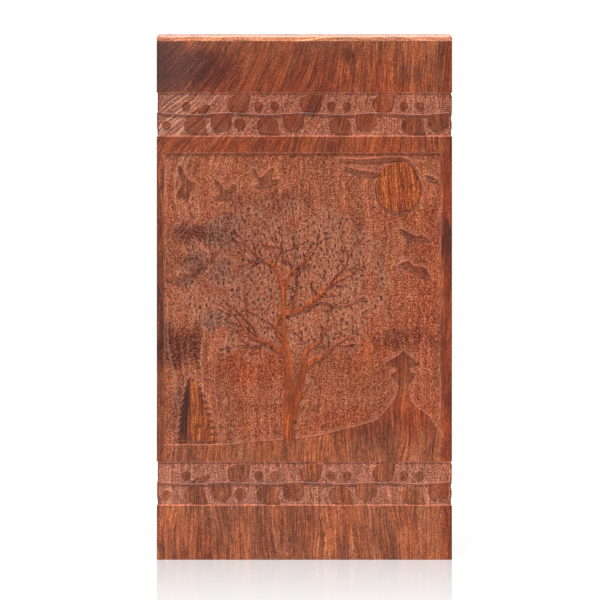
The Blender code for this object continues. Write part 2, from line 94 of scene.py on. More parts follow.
BAND_HEIGHT = 24.6
BAND_BOTTOMS = (29.8, 233.5)
BAND_DEPTH = 1.0
PICTURE_LEFT, PICTURE_RIGHT = 3.8, WIDTH - 5.9
PICTURE_BOTTOM, PICTURE_TOP = 63.0, 225.0
PICTURE_DEPTH = 1.4
EDGE_RUN = 0.8
print("head of the walls at", HEAD, "mm; picture", PICTURE_RIGHT - PICTURE_LEFT, "mm wide")

# %% [markdown]
# ## Colours and nodes
#
# Colours are written as sRGB hex values, the numbers a colour picker shows. Blender's shaders want
# linear light, so one function converts them. Another adds any node, with its settings and links. A few
# nodes are needed so often that a table gives them short names, and a word in capitals is the name of a sum.

# %% Helpers for materials and objects
COLOUR_MIX = ("ShaderNodeMix", (0, 6, 7), 2)
SHORT = {
    "range": ("ShaderNodeMapRange", (0, 1, 2, 3, 4), 0, {"interpolation_type": "SMOOTHSTEP"}),
    "even range": ("ShaderNodeMapRange", (0, 1, 2, 3, 4), 0, {}),
    "mix": (*COLOUR_MIX, {"data_type": "RGBA", "blend_type": "MIX"}),
    "overlay": (*COLOUR_MIX, {"data_type": "RGBA", "blend_type": "OVERLAY"}),
    "stain": (*COLOUR_MIX, {"data_type": "RGBA", "blend_type": "MULTIPLY"}),
}


def srgb(text):
    """The linear colour of an sRGB hex value."""
    parts = [int(text[i : i + 2], 16) / 255 for i in (1, 3, 5)]
    return (*(p / 12.92 if p <= 0.04045 else ((p + 0.055) / 1.055) ** 2.4 for p in parts), 1.0)


def add(tree, kind, *values, **settings):
    """A new node. Its inputs are values or other nodes' outputs, in order or in a dict by name.
    A short name or a sum gives the node's output, and a full name gives the node itself."""
    name, sockets, out, preset = SHORT.get(kind, (kind, (), None, {}))
    if kind.isupper():
        name, sockets, out, preset = "ShaderNodeMath", (0, 1, 2), 0, {"operation": kind}
    made = tree.nodes.new(name)
    for key, value in {**preset, **settings}.items():
        setattr(made, key, value)
    by_name = values and isinstance(values[0], dict)
    for key, value in (values[0] if by_name else dict(zip(sockets, values))).items():
        socket = made.inputs[key]
        if isinstance(value, bpy.types.NodeSocket):
            tree.links.new(value, socket)
        else:
            socket.default_value = value
    return made if out is None else made.outputs[out]


def new_material(name, constants):
    """A material, its node tree and its shader, whose inputs get the constants."""
    made = bpy.data.materials.new(name)
    made.use_nodes = True
    shader = made.node_tree.nodes["Principled BSDF"]
    for key, value in constants.items():
        shader.inputs[key].default_value = value
    return made, made.node_tree, shader


def new_object(name, data):
    made = bpy.data.objects.new(name, data)
    bpy.context.scene.collection.objects.link(made)
    return made


print("mid rosewood in linear light:", [round(v, 3) for v in srgb("#8c4b34")])


# %% [markdown]
# ## Where the wood changes
#
# Rosewood of the sheesham kind is never one colour. This front board has a dark, purplish patch of
# heartwood at its upper left, a knot to the left of the tree with red wood and grey mineral streaks beside
# it, dark stripes low at the left and right, and a paler foot. Each patch is a soft oval, given by its
# middle, its half width and half height in millimetres, and how strong it is. Patches are strong on the
# front and faint on the other faces, where the same ovals reach through.

# %% Place the patches of heartwood and sapwood
PATCHES = {
    "dark heartwood": (
        "#6a4c50",
        ((-82, 268, 12, 24, 0.6), (-79, 140, 4, 90, 0.5), (79, 176, 5, 14, 0.6), (24, 279, 4, 8, 0.6)),
    ),
    "purple heartwood": ("#482c2c", ((-72, 272, 24, 18, 0.7),)),
    "red heartwood": (
        "#823f28",
        (
            (-62, 180, 13, 7, 0.85), (-61, 163, 9, 7, 0.7), (-66, 154, 11, 4, 0.8),
            (-70, 117, 14, 15, 1.0), (-67, 84, 7, 20, 0.7), (56, 122, 22, 7, 0.5),
            (-15, 198, 26, 7, 0.4), (-20, 84, 60, 3, 0.25), (4, 262, 16, 22, 0.3),
        ),
    ),
    "grey mineral streaks": (
        "#98888a",
        ((-47, 179, 10, 6, 0.7), (-47, 162, 7, 8, 0.55), (-52, 132, 13, 7, 0.5), (-40, 187, 12, 5, 0.5)),
    ),
    "mauve wood": (
        "#d4c4d2",
        ((-36, 165, 26, 38, 0.8), (-14, 190, 10, 14, 0.5), (-50, 268, 18, 16, 1.0), (-45, 132, 12, 8, 1.0)),
    ),
    "orange heartwood": (
        "#f0c090",
        (
            (-28, 108, 28, 14, 0.8), (36, 112, 30, 20, 0.5), (68, 150, 12, 60, 0.6),
            (56, 82, 16, 16, 0.8), (79, 140, 4, 260, 1.0), (54, 200, 16, 18, 0.5),
            (5, 262, 78, 24, 0.7), (0, 229, 110, 7, 0.7), (30, 76, 36, 9, 0.6), (15, 246, 95, 13, 1.0),
        ),
    ),
}  # fmt: skip
COVERING = "purple heartwood"
KNOT = (-60.0, 164.0)
print("patches of", ", ".join(PATCHES), "and one knot")


# %% [markdown]
# ## Rosewood
#
# One function makes all the rosewood. The grain is noise that is stretched along the board: wide zones
# of colour 13 to 17 mm across, streaks 2.2 mm wide, fibres of 0.8 mm, and pores. Real pores are about
# 0.2 mm wide, too fine for this picture, so they are drawn at 0.7 mm. At the upper left the grain leans and
# fans out, and round the knot it turns, so the place along the board is bent before the noise reads it.
#
# Beside a cut the wood reads the number `near_cut` from the mesh, which a later cell puts there, and takes
# the colour that wax or a clean pass of the router leaves at an edge.

# %% Make the wood
FRONT_INSIDE = WALL - DEPTH / 2
LEANING_HEIGHT = 218.0
RING_PITCH = 2.0
PASS_PITCH = 1.15
# How far in from the top's edges the painted highlight on its rounded lip starts and grows full, in
# millimetres.
TOP_EDGE_SHEEN_REACH = (1.6, 0.7)


def rosewood(
    name, stops, hues, roughness, coat=0.0, routed=False, relief=0.1, along="Z", patches=1.0, hairs=0.6,
    shares=(0.16, 0.18, 0.36, 0.16, 0.14), edge=("#7a4a3a", 0.6), grit=0.45, heart="",
):  # fmt: skip
    """A rosewood finish. Stops are its hex colours from dark to light, and two hues tint wide zones.
    Shares say how much of the tone comes from zones, streaks, fibres, speckle and flame. Edge is
    the colour near a cut and how strong it is there. Heart gives stops for the middle of a board."""
    constants = {"IOR": 1.5, "Coat Weight": coat, "Coat Roughness": 0.25}
    constants["Specular IOR Level"] = 0.12 if routed else 0.25
    made, tree, shader = new_material(name, constants)
    node = partial(add, tree)
    place = node("ShaderNodeTexCoord").outputs["Object"]
    scaled = node("ShaderNodeVectorMath", {0: place, "Scale": 1 / MM}, operation="SCALE")
    parts = node("ShaderNodeSeparateXYZ", {0: scaled.outputs[0]}).outputs
    x, y, z = (parts[axis] for axis in ("ZYX" if along == "X" else "XYZ"))

    def grain(across, down, detail=3.0, offset=0.0, source=(x, y, z), distortion=0.0):
        """Noise of a size across the grain and along it, both in millimetres."""
        u = node("MULTIPLY", source[0], 1 / across)
        v = node("MULTIPLY_ADD", source[1], 1 / across, offset)
        w = node("MULTIPLY", source[2], 1 / down)
        vector = node("ShaderNodeCombineXYZ", {"X": u, "Y": v, "Z": w}).outputs[0]
        inputs = {"Vector": vector, "Scale": 1.0, "Detail": detail, "Roughness": 0.62}
        inputs["Distortion"] = distortion
        return node("ShaderNodeTexNoise", inputs).outputs["Fac"]

    wander = node("SUBTRACT", grain(42, 90, 2.0, 3.0), 0.5)
    bent = node("MULTIPLY_ADD", wander, 20.0, x)
    if patches:
        on_front = node("range", y, FRONT_INSIDE + 0.15, FRONT_INSIDE + 0.05)
        up = node("MULTIPLY_ADD", node("SUBTRACT", 1.0, on_front), 155.0, z)
        lean = node("MULTIPLY", node("range", z, 185, 262), node("range", x, 70, -84))
        lean = node("MULTIPLY", lean, on_front)
        bent = node("SUBTRACT", bent, node("MULTIPLY", lean, node("SUBTRACT", z, LEANING_HEIGHT)))
        dx = node("SUBTRACT", x, KNOT[0])
        dz = node("SUBTRACT", up, KNOT[1])
        rings = node("SQRT", node("MULTIPLY_ADD", dz, dz, node("MULTIPLY", dx, dx)))
        turn = node("MULTIPLY", node("range", rings, 26, 6), node("MULTIPLY", rings, 1.4))
        bent = node("ADD", bent, turn)
    flow = (bent, y, z)

    zones = grain(13, 70, 3.0, 0.0, flow, 0.5)
    streaks = grain(2.2, 50, 3.0, 7.0, flow, 0.4)
    fibres = grain(0.8, 20, 3.0, 13.0, flow)
    speckle = grain(0.75, 0.9, 1.0, 17.0)
    flame = grain(6, 9, 4.0, 21.0, flow, 0.8)
    tone = 0.0
    for part, share in zip((zones, streaks, fibres, speckle, flame), shares):
        tone = node("MULTIPLY_ADD", part, share, tone)
    woods = []
    for paints in filter(None, (stops.split(), heart.split())):
        ramp = node("ShaderNodeValToRGB", {"Fac": node("range", tone, 0.37, 0.63)})
        elements = ramp.color_ramp.elements
        while len(elements) < len(paints):
            elements.new(0.5)
        for number, paint in enumerate(paints):
            elements[number].position = number / (len(paints) - 1)
            elements[number].color = srgb(paint)
        woods.append(ramp.outputs["Color"])
    colour = woods[0]
    if heart:
        from_middle = node("ABSOLUTE", node("MULTIPLY_ADD", wander, 40.0, y))
        colour = node("mix", node("range", from_middle, 53, 46), *woods)
    wide, narrow = grain(17, 48, 3.0, 71.0, flow, 0.8), grain(4, 16, 3.0, 75.0, flow, 0.6)
    for source, tints, strength in ((wide, hues, 0.6), (narrow, "#8c6468 #947e5c", 0.5)):
        tint = node("mix", node("range", source, 0.38, 0.62), *map(srgb, tints.split()))
        colour = node("overlay", strength, colour, tint)

    lines = node("ABSOLUTE", node("SUBTRACT", grain(1.7, 26, 3.0, 31.0, flow, 0.4), 0.5))
    in_places = node("range", grain(14, 30, 2.0, 33.0, flow), 0.42, 0.6)
    thin = node("MULTIPLY", node("range", lines, 0.022, 0.004), in_places)
    colour = node("mix", node("MULTIPLY", thin, hairs), colour, srgb("#2e130c"))
    pores = node("range", grain(0.7, 4, 1.0, 37.0, flow), 0.58, 0.72, 0.0, hairs)
    colour = node("mix", pores, colour, srgb("#35160e"))
    # Painted highlight: on the top's rounded lip, near the front, back and ends, the colour is mixed towards
    # pale pink (#f6dccc), standing in for light caught on the rounding.
    if along == "X":
        far, near = TOP_EDGE_SHEEN_REACH
        at_front = node("range", node("ABSOLUTE", y), DEPTH / 2 - far, DEPTH / 2 - near)
        at_side = node("range", node("ABSOLUTE", z), WIDTH / 2 - far, WIDTH / 2 - near)
        above = node("range", x, HEIGHT - LIP_ROUND, HEIGHT - 1.0)
        painted_top_sheen = node("MULTIPLY", node("MAXIMUM", at_front, at_side), above)
        colour = node("mix", node("MULTIPLY", painted_top_sheen, 0.3), colour, srgb("#f6dccc"))
    if patches:
        ragged = node("SUBTRACT", grain(6, 12, 5.0, 41.0, flow, 0.8), 0.5)
        bent_rings = node("MULTIPLY_ADD", ragged, 16.0, node("MULTIPLY", rings, 2 * math.pi / RING_PITCH))
        ring_lines = node("range", node("SINE", bent_rings), 0.0, 0.9)
        ring_lines = node("MULTIPLY", ring_lines, node("range", rings, 10, 4, 0.0, 0.5))
        colour = node("mix", ring_lines, colour, srgb("#4a241c"))
        for kind, (paint, spots) in PATCHES.items():
            cover = 0.0
            for middle_x, middle_z, half_width, half_height, strength in spots:
                u = node("MULTIPLY", node("SUBTRACT", x, middle_x), 1 / half_width)
                v = node("MULTIPLY", node("SUBTRACT", up, middle_z), 1 / half_height)
                reach = node("SQRT", node("MULTIPLY_ADD", u, u, node("MULTIPLY", v, v)))
                reach = node("MULTIPLY_ADD", ragged, 1.8, reach)
                amount = node("range", reach, 1.25, 0.35, 0.0, strength * patches)
                cover = node("MAXIMUM", cover, amount)
            cover = node("MULTIPLY", cover, node("MULTIPLY_ADD", on_front, 0.75, 0.25))
            colour = node("mix" if kind == COVERING else "stain", cover, colour, srgb(paint))

    sand = grain(0.55, 0.6, 1.0, 51.0)
    colour = node("overlay", grit, colour, node("range", sand, 0.28, 0.72))
    near_cut = node("ShaderNodeAttribute", attribute_name="near_cut").outputs["Fac"]
    if routed:
        colour = node("mix", node("range", sand, 0.5, 0.72, 0.0, 0.22), colour, srgb("#d8ac98"))
        passes = node("MULTIPLY_ADD", z, 2 * math.pi / PASS_PITCH, node("MULTIPLY", flame, 9.0))
        passes = node("MULTIPLY_ADD", node("SINE", passes), 0.06, 0.5)
        colour = node("overlay", 1.0, colour, passes)
        fanned = node("MULTIPLY", node("range", x, -20, -78), node("range", z, 212, 238, 0.1, 0.4))
        fanned = node("MULTIPLY", fanned, on_front)
        for low, high, paint in ((0.52, 0.6, "#d8b29e"), (0.47, 0.4, "#7a4434")):
            ridges = node("MULTIPLY", node("range", streaks, low, high), fanned)
            colour = node("mix", ridges, colour, srgb(paint))
        near_cut = node("MULTIPLY", near_cut, node("range", grain(1.6, 1.6, 2.0, 55.0), 0.3, 0.6))
    paint, strength = edge
    near_cut = node("MULTIPLY", near_cut, strength)
    colour = node("mix" if routed else "stain", near_cut, colour, srgb(paint))

    tree.links.new(colour, shader.inputs["Base Color"])
    gloss = node("range", fibres, 0.35, 0.65, roughness - 0.05, roughness + 0.08)
    tree.links.new(gloss, shader.inputs["Roughness"])
    height = node("MULTIPLY_ADD", fibres, 0.5, node("MULTIPLY", streaks, 0.5))
    if routed:
        height = node("ADD", height, grain(0.8, 0.8, 3.0, 61.0))
    bump = node("ShaderNodeBump", {"Height": height, "Strength": relief, "Distance": 0.0004})
    tree.links.new(bump.outputs["Normal"], shader.inputs["Normal"])
    return made


print("the front board reaches back to y =", FRONT_INSIDE, "mm")

# %% [markdown]
# ## The finishes
#
# The same wood is finished in many ways. Each row gives a name, the stops from dark to light, two hues, the
# roughness, and what differs from plain wood. The face was planed and waxed, so it is smooth and deep in
# colour. The carved ground was left as the router cut it, so it is paler and rough. The walls of the cuts
# are fresh wood. The figures left standing took more wax. The top is paler sapwood with heartwood in its
# middle, and the base is sanded sapwood.

# %% Mix the finishes
BARE = ("#ffffff", 0.0)
WAX = {"coat": 0.1, "relief": 0.3}
FINISH_ROWS = (
    (
        "rosewood, planed and waxed",
        "#6f3920 #905231 #ab6643 #c27f56 #d6a272", "#746460 #a07e54", 0.42, WAX,
    ),
    (
        "rosewood, routed and left rough",
        "#965033 #a85e3f #b66b4a #c27c57 #d5956b", "#7c7672 #94806c", 0.75,
        {"routed": True, "relief": 0.8, "patches": 0.9, "hairs": 0.25,
         "shares": (0.12, 0.18, 0.32, 0.24, 0.14), "edge": ("#cc967c", 0.3), "grit": 0.55},
    ),
    (
        "rosewood, fresh wall of a cut",
        "#9d654e #b87c61 #cd9477 #dea98c #edc2a6", "#7a706c #8e7a6c", 0.7,
        {"relief": 0.4, "patches": 0.3, "hairs": 0.2, "edge": BARE},
    ),
    (
        "rosewood, waxed figure left standing",
        "#7f3c14 #9b4f1e #b25e25 #c67131 #dd8c49", "#8c6a50 #a88050", 0.4,
        {**WAX, "patches": 0.3, "edge": ("#8a5038", 0.7)},
    ),
    (
        "rosewood, thin ridge darkened by wax",
        "#5a2a17 #6e3621 #82452b #965537 #ac6e4c", "#7a6058 #90705a", 0.45,
        {"coat": 0.1, "relief": 0.2, "patches": 0.2, "edge": BARE},
    ),
    (
        "rosewood, waxed leaf standing in a band",
        "#6c3724 #8d5138 #a36347 #b77756 #ce916c", "#75686a #98806a", 0.42, {**WAX, "patches": 0.85},
    ),
    (
        "rosewood, routed band with raised grain",
        "#965e4e #ab6f59 #bc7c64 #ca8e76 #ddab94", "#7c7874 #908074", 0.75,
        {"routed": True, "relief": 0.8, "patches": 0.4, "hairs": 0.3,
         "shares": (0.08, 0.26, 0.36, 0.22, 0.08), "edge": ("#d4a48c", 0.12), "grit": 0.5},
    ),
    (
        "rosewood, waxed figure in golden wood",
        "#703411 #924c21 #ae632f #c88347 #e0ac6d", "#8a6858 #a88258", 0.4,
        {"coat": 0.1, "relief": 0.4, "patches": 0.5, "hairs": 0.8,
         "shares": (0.10, 0.24, 0.40, 0.10, 0.16), "edge": ("#8a5038", 0.8), "grit": 0.8},
    ),
    (
        "rosewood sapwood, planed and waxed",
        "#ac7952 #ca966e #daad86 #e6c09d #f2d9bb", "#847c78 #988878", 0.4,
        {"coat": 0.1, "relief": 0.25, "along": "X", "patches": 0.0, "hairs": 0.4,
         "heart": "#703b22 #905733 #aa6e41 #c18754 #d7a471"},
    ),
    (
        "sheesham sapwood, sanded and oiled",
        "#8c6444 #a67c58 #b98f6c #c9a281 #d6b294", "#7c7468 #948470", 0.6,
        {"relief": 0.3, "along": "X", "patches": 0.0, "hairs": 0.2},
    ),
)  # fmt: skip
*FINISHES, pale_top, base_wood = (rosewood(*row, **rest) for *row, rest in FINISH_ROWS)
WAXED, ROUTED, FRESH, FIGURE, RIDGE, LEAF, BAND_GROUND, GOLDEN = range(8)
print("finishes:", "; ".join(row[0] for row in FINISH_ROWS))


# %% [markdown]
# ## A mesh from rings
#
# Everything here is made by one idea: rings of points that are joined into a closed skin, with a cap at
# each end. A board is a stack of flat outlines, a leaf is a few outlines that grow outwards, and a screw is
# a stack of circles. Points are kept in a plain list until the end, which is fast even for 100,000 of them.

# %% Collect rings and turn them to an object
def new_shape():
    return {"points": [], "faces": [], "finishes": [], "near_cut": [], "cuts": []}


def loft(shape, rings, finish, caps=(0, 0), marks=None):
    """Joins closed rings of points. Finish gives a quad's material from its ring and its place on it.
    Marks say, for each ring, how near it is to a cut: 0 is far and 1 is at the cut."""
    first = len(shape["points"])
    count = len(rings[0])
    for number, ring in enumerate(rings):
        shape["points"].extend(ring)
        shape["near_cut"].extend([marks[number] if marks else 0.0] * count)
    for level in range(len(rings) - 1):
        low = first + level * count
        for place in range(count):
            after = (place + 1) % count
            shape["faces"].append((low + place, low + after, low + count + after, low + count + place))
            shape["finishes"].append(finish(level, place))
    last = first + (len(rings) - 1) * count
    shape["faces"].append(tuple(range(first, first + count)))
    shape["faces"].append(tuple(range(last + count - 1, last - 1, -1)))
    shape["finishes"].extend(caps)


def finished(shape, name, materials, sharp=32):
    """An object from the shape, in metres, smooth but for edges sharper than an angle."""
    mesh = bpy.data.meshes.new(name)
    mesh.from_pydata([Vector(p) * MM for p in shape["points"]], [], shape["faces"])
    for paint in materials:
        mesh.materials.append(paint)
    mesh.polygons.foreach_set("material_index", shape["finishes"])
    layer = mesh.attributes.new("near_cut", "FLOAT", "POINT")
    layer.data.foreach_set("value", shape["near_cut"])
    builder = bmesh.new()
    builder.from_mesh(mesh)
    bmesh.ops.recalc_face_normals(builder, faces=builder.faces)
    builder.to_mesh(mesh)
    builder.free()
    mesh.shade_smooth()
    mesh.set_sharp_from_angle(angle=math.radians(sharp))
    print(name, "has", sum(len(face) - 2 for face in shape["faces"]), "triangles")
    return new_object(name, mesh)


def stations(low, high, step, marks=()):
    """Places from low to high about a step apart, with every mark among them."""
    fixed = [low, *sorted(mark for mark in marks if low < mark < high), high]
    places = []
    for start, end in zip(fixed, fixed[1:]):
        count = max(1, round((end - start) / step))
        places.extend(start + (end - start) * i / count for i in range(count))
    return [*places, high]


print("example of stations:", stations(0, 5, 2, (1.5,)))


# %% [markdown]
# ## The four faces
#
# Each face of the box is looked at squarely: along runs from left to right, up is up, and depth goes into
# the wood. With that, one drawing serves every face, and only the last step places it in space.

# %% Describe the four faces
FACES = {
    "front": (Vector((-WIDTH / 2, -DEPTH / 2, 0)), Vector((1, 0, 0)), WIDTH),
    "right": (Vector((WIDTH / 2, -DEPTH / 2, 0)), Vector((0, 1, 0)), DEPTH),
    "back": (Vector((WIDTH / 2, DEPTH / 2, 0)), Vector((-1, 0, 0)), WIDTH),
    "left": (Vector((-WIDTH / 2, DEPTH / 2, 0)), Vector((0, -1, 0)), DEPTH),
}
UP = Vector((0, 0, 1))


def on_face(side, along, up, depth):
    """A place on a face as a point in space."""
    origin, direction, _ = FACES[side]
    return origin + direction * along + UP * up - direction.cross(UP) * depth


print("middle of the front:", tuple(on_face("front", WIDTH / 2, HEIGHT / 2, 0)))


# %% [markdown]
# ## How deep the router went
#
# The carved ground isn't quite flat. The router's passes leave low waves about 2 mm apart, and hard streaks
# of the grain stand a little proud. Both are under 0.1 mm here, just enough to catch the light. Only at the
# left of the front's upper band does the grain stand out more, by up to 0.35 mm.

# %% Measure the depth of the ground anywhere
RAISED_GRAIN_WIDTH, RAISED_GRAIN_BOTTOM = 55.0, 225.0


def waviness(side, along, up):
    """Low waves of the router and ridges of the grain, with raised grain left in the upper band."""
    shift = 300 * list(FACES).index(side)
    waves = noise.noise(Vector((0.42 * along + shift, 0.55 * up, 0)))
    ridges = noise.noise(Vector((0.8 * along + shift, 0.05 * up, 9)))
    depth = 0.05 * waves + 0.05 * ridges
    if side == "front" and along < RAISED_GRAIN_WIDTH and up > RAISED_GRAIN_BOTTOM:
        raised = noise.noise(Vector((0.42 * (along - 0.9 * up), 0.04 * (along + up), 5)))
        depth -= 0.35 * raised * (1 - along / RAISED_GRAIN_WIDTH)
    return depth


def corner_drop(side, along):
    """How far the rounded corner of the box falls back from the face."""
    edge = min(along, FACES[side][2] - along)
    if edge >= CORNER:
        return 0.0
    return CORNER - math.sqrt(CORNER**2 - (CORNER - max(0.0, edge)) ** 2)


def in_a_band(up):
    return any(bottom <= up <= bottom + BAND_HEIGHT for bottom in BAND_BOTTOMS)


def ground_depth(side, along, up):
    """How far the ground lies below the face, which is 0 where nothing was carved."""
    for bottom in BAND_BOTTOMS:
        inside = min(up - bottom, bottom + BAND_HEIGHT - up)
        if inside > 0:
            share = min(1.0, inside / EDGE_RUN)
            return share * (BAND_DEPTH + waviness(side, along, up))
    if side == "front":
        inside = min(along - PICTURE_LEFT, PICTURE_RIGHT - along, up - PICTURE_BOTTOM, PICTURE_TOP - up)
        if inside > 0:
            share = min(1.0, inside / EDGE_RUN)
            return share * (PICTURE_DEPTH + waviness(side, along, up))
    return 0.0


print("depth in the picture:", round(ground_depth("front", 80, 140), 2), "mm")


# %% [markdown]
# ## The upright boards
#
# A board is a stack of outlines seen from above. Each outline point knows which way is into the wood, so
# the carving just moves it that way. The levels lie close together where there is carving and far apart
# where there is none. At the foot, the inner points step outwards to make the rebate for the base panel.

# %% Build a board from its outlines
def board_plan(side, low, high, corner, fine):
    """The outline of a board, as (along, depth, inward along, inward depth, in the rebate)."""
    marks = []
    if side == "front":
        marks = [PICTURE_LEFT, PICTURE_LEFT + EDGE_RUN, PICTURE_RIGHT - EDGE_RUN, PICTURE_RIGHT]
    between = low > 0
    inward = 0.0 if between else 1.0
    edge = [] if between else stations(corner, WALL, 1.4)[1:-1]
    ends = [] if between else [high - RIM, high - RIM, low + RIM, low + RIM]
    plan = [(u, 0.0, 0.0, 1.0, False) for u in stations(low + corner, high - corner, fine, marks)]
    turns = [math.pi / 2 * i / 6 for i in range(1, 7)]
    for t in turns:
        place = (high - corner + corner * math.sin(t), corner - corner * math.cos(t))
        plan.append((*place, -math.sin(t), math.cos(t), False))
    plan.extend((high, w, -1.0, 0.0, False) for w in edge)
    plan.append((high, WALL, -inward, 0.0, between))
    plan.extend((u, WALL, 0.0, 0.0, number in (1, 2)) for number, u in enumerate(ends))
    plan.append((low, WALL, inward, 0.0, between))
    plan.extend((low, w, 1.0, 0.0, False) for w in edge[::-1])
    for t in turns[::-1]:
        place = (low + corner - corner * math.sin(t), corner - corner * math.cos(t))
        plan.append((*place, math.sin(t), math.cos(t), False))
    return plan


def board_levels(side, fine):
    """Heights of the outlines, close together where the face is carved."""
    levels = [0.0, 0.35, REBATE - 0.02, REBATE]
    carved = [(b, b + BAND_HEIGHT) for b in BAND_BOTTOMS]
    if side == "front":
        carved.insert(1, (PICTURE_BOTTOM, PICTURE_TOP))
    start = REBATE
    for low, high in carved:
        levels.extend(stations(start, low, 6.0)[1:])
        levels.extend(stations(low, high, fine, (low + EDGE_RUN, high - EDGE_RUN))[1:])
        start = high
    return [*levels, *stations(start, HEAD - 0.35, 6.0)[1:], HEAD]


def add_board(shape, side, low, high, corner, fine=0.95):
    plan = board_plan(side, low, high, corner, fine)
    levels = board_levels(side, fine)
    rings, depths = [], []
    for number, up in enumerate(levels):
        eased = {0: 0.25, len(levels) - 1: 0.06}.get(number, 0.0)
        ring, sunk = [], []
        for along, deep, in_along, in_depth, rebated in plan:
            outer = bool(in_along or in_depth)
            carved = ground_depth(side, along, up) if outer else 0.0
            if rebated and number < 3:
                deep = RIM
            move = carved + (eased if outer else 0.0)
            ring.append(on_face(side, along + in_along * move, up, deep + in_depth * move))
            sunk.append(carved)
        rings.append(ring)
        depths.append(sunk)

    def finish(level, place):
        after = (place + 1) % len(plan)
        four = [depths[a][b] for a in (level, level + 1) for b in (place, after)]
        if max(four) < 0.02:
            return WAXED
        if min(four) < 0.8:
            return FRESH
        return BAND_GROUND if in_a_band(levels[level]) else ROUTED

    loft(shape, rings, finish)


print("levels of the front board:", len(board_levels("front", 0.95)))


# %% [markdown]
# ## Figures left standing
#
# Carving in sunk relief takes the ground away round a figure. So each leaf or bird keeps the waxed face of
# the board on its top, and its walls are fresh wood that slopes out to the ground. A figure is three rings:
# a slightly smaller one on top, the true outline just below it, and a wider one under the ground. A fourth,
# still smaller, is added where wax has left a darker rim. Neighbours get tops that differ by a few
# thousandths of a millimetre, so that two never fight for one plane.

# %% Raise a figure from a flat outline
def anticlockwise(outline):
    points = [Vector(point) for point in outline]
    area = sum(a.x * b.y - b.x * a.y for a, b in zip(points, [*points[1:], points[0]]))
    return points if area > 0 else points[::-1]


def grown(outline, distance):
    """The outline moved outwards by a distance, with its sharp corners kept in check."""
    made = []
    for number, point in enumerate(outline):
        before = point - outline[number - 1]
        after = outline[(number + 1) % len(outline)] - point
        if before.length < 1e-6 or after.length < 1e-6:
            made.append(point.copy())
            continue
        first = Vector((before.y, -before.x)).normalized()
        second = Vector((after.y, -after.x)).normalized()
        out = first + second
        if out.length < 1e-3:
            made.append(point + before.normalized() * distance)
            continue
        out.normalize()
        made.append(point + out * distance / max(0.55, out.dot(first)))
    return made


RAISED = {"count": 0}
LOWEST_LIFT, LIFT_STEP, LIFTS = 0.02, 0.003, 9
UNDER = 0.2
CUT_STEP = 0.8


def raise_figure(
    shape, side, outline, carved, top=0.0, spread=0.4, finish=WAXED, shoulder=0.12, rim=0.0, wall=FRESH,
    dark=1.0,
):  # fmt: skip
    """A figure with a flat top. Rim is the width of the darker border that wax leaves on its top.
    Without a rim, dark says how dark the whole top is."""
    RAISED["count"] += 1
    lift = top + LOWEST_LIFT + LIFT_STEP * (RAISED["count"] % LIFTS)
    outline = anticlockwise(outline)
    levels = [
        (grown(outline, -shoulder), lift, 1.0 if rim else dark),
        (outline, lift + shoulder, 1.0),
        (grown(outline, spread), carved + UNDER, 1.0),
    ]
    if rim:
        levels.insert(0, (grown(outline, -shoulder - rim), lift, 0.0))
    rings = [[on_face(side, p.x, p.y, depth) for p in ring] for ring, depth, _ in levels]
    paints = [finish] * (len(levels) - 2) + [wall]
    marks = [mark for _, _, mark in levels]
    loft(shape, rings, lambda level, place: paints[level], (finish, ROUTED), marks)
    note_cut(shape, side, [*outline, outline[0]], carved)


def note_cut(shape, side, line, carved):
    """Remembers points along a cut, at the level of the ground."""
    for start, end in zip(line, line[1:]):
        count = max(1, round((end - start).length / CUT_STEP))
        for step in range(count):
            spot = start.lerp(end, step / count)
            shape["cuts"].append(on_face(side, spot.x, spot.y, carved))


unit_square = anticlockwise([(0, 0), (1, 0), (1, 1), (0, 1)])
print("a unit square grown by 1:", [tuple(point) for point in grown(unit_square, 1)])


# %% [markdown]
# ## Outlines
#
# The figures are drawn as a draughtsman would: a smooth line through a few points, a strip of changing
# width along such a line, an oval, and a fat leaf, which is an oval with one or two quarters drawn out to a
# corner.

# %% Draw lines, strips, ovals and leaves
def bends(a, b, c, d, steps):
    """Points on the way from b to c, for a curve that also goes through a and d."""
    made = []
    for t in (step / steps for step in range(steps)):
        bend = 2 * b + (c - a) * t + (2 * a - 5 * b + 4 * c - d) * t**2
        made.append(0.5 * (bend + (3 * b - 3 * c + d - a) * t**3))
    return made


def smooth_line(points, steps):
    """A curve through the points, with this many steps between each two."""
    points = [Vector(point) for point in points]
    ends = [2 * points[0] - points[1], *points, 2 * points[-1] - points[-2]]
    fours = zip(ends, ends[1:], ends[2:], ends[3:])
    return [point for four in fours for point in bends(*four, steps)] + [points[-1]]


def closed_curve(points, steps):
    """The same for a line that ends where it began."""
    points = [Vector(point) for point in points]
    fours = zip(points[-1:] + points, points, points[1:] + points, points[2:] + points)
    return [point for four in fours for point in bends(*four, steps)]


def across(line, index):
    ahead = line[min(index + 1, len(line) - 1)] - line[max(index - 1, 0)]
    return Vector((-ahead.y, ahead.x)).normalized()


def width_at(widths, share):
    place = share * (len(widths) - 1)
    first = min(int(place), len(widths) - 2)
    return widths[first] + (place - first) * (widths[first + 1] - widths[first])


def disc(centre, radius, sides=20):
    turns = (2 * math.pi * i / sides for i in range(sides))
    return [(centre[0] + radius * math.cos(a), centre[1] + radius * math.sin(a)) for a in turns]


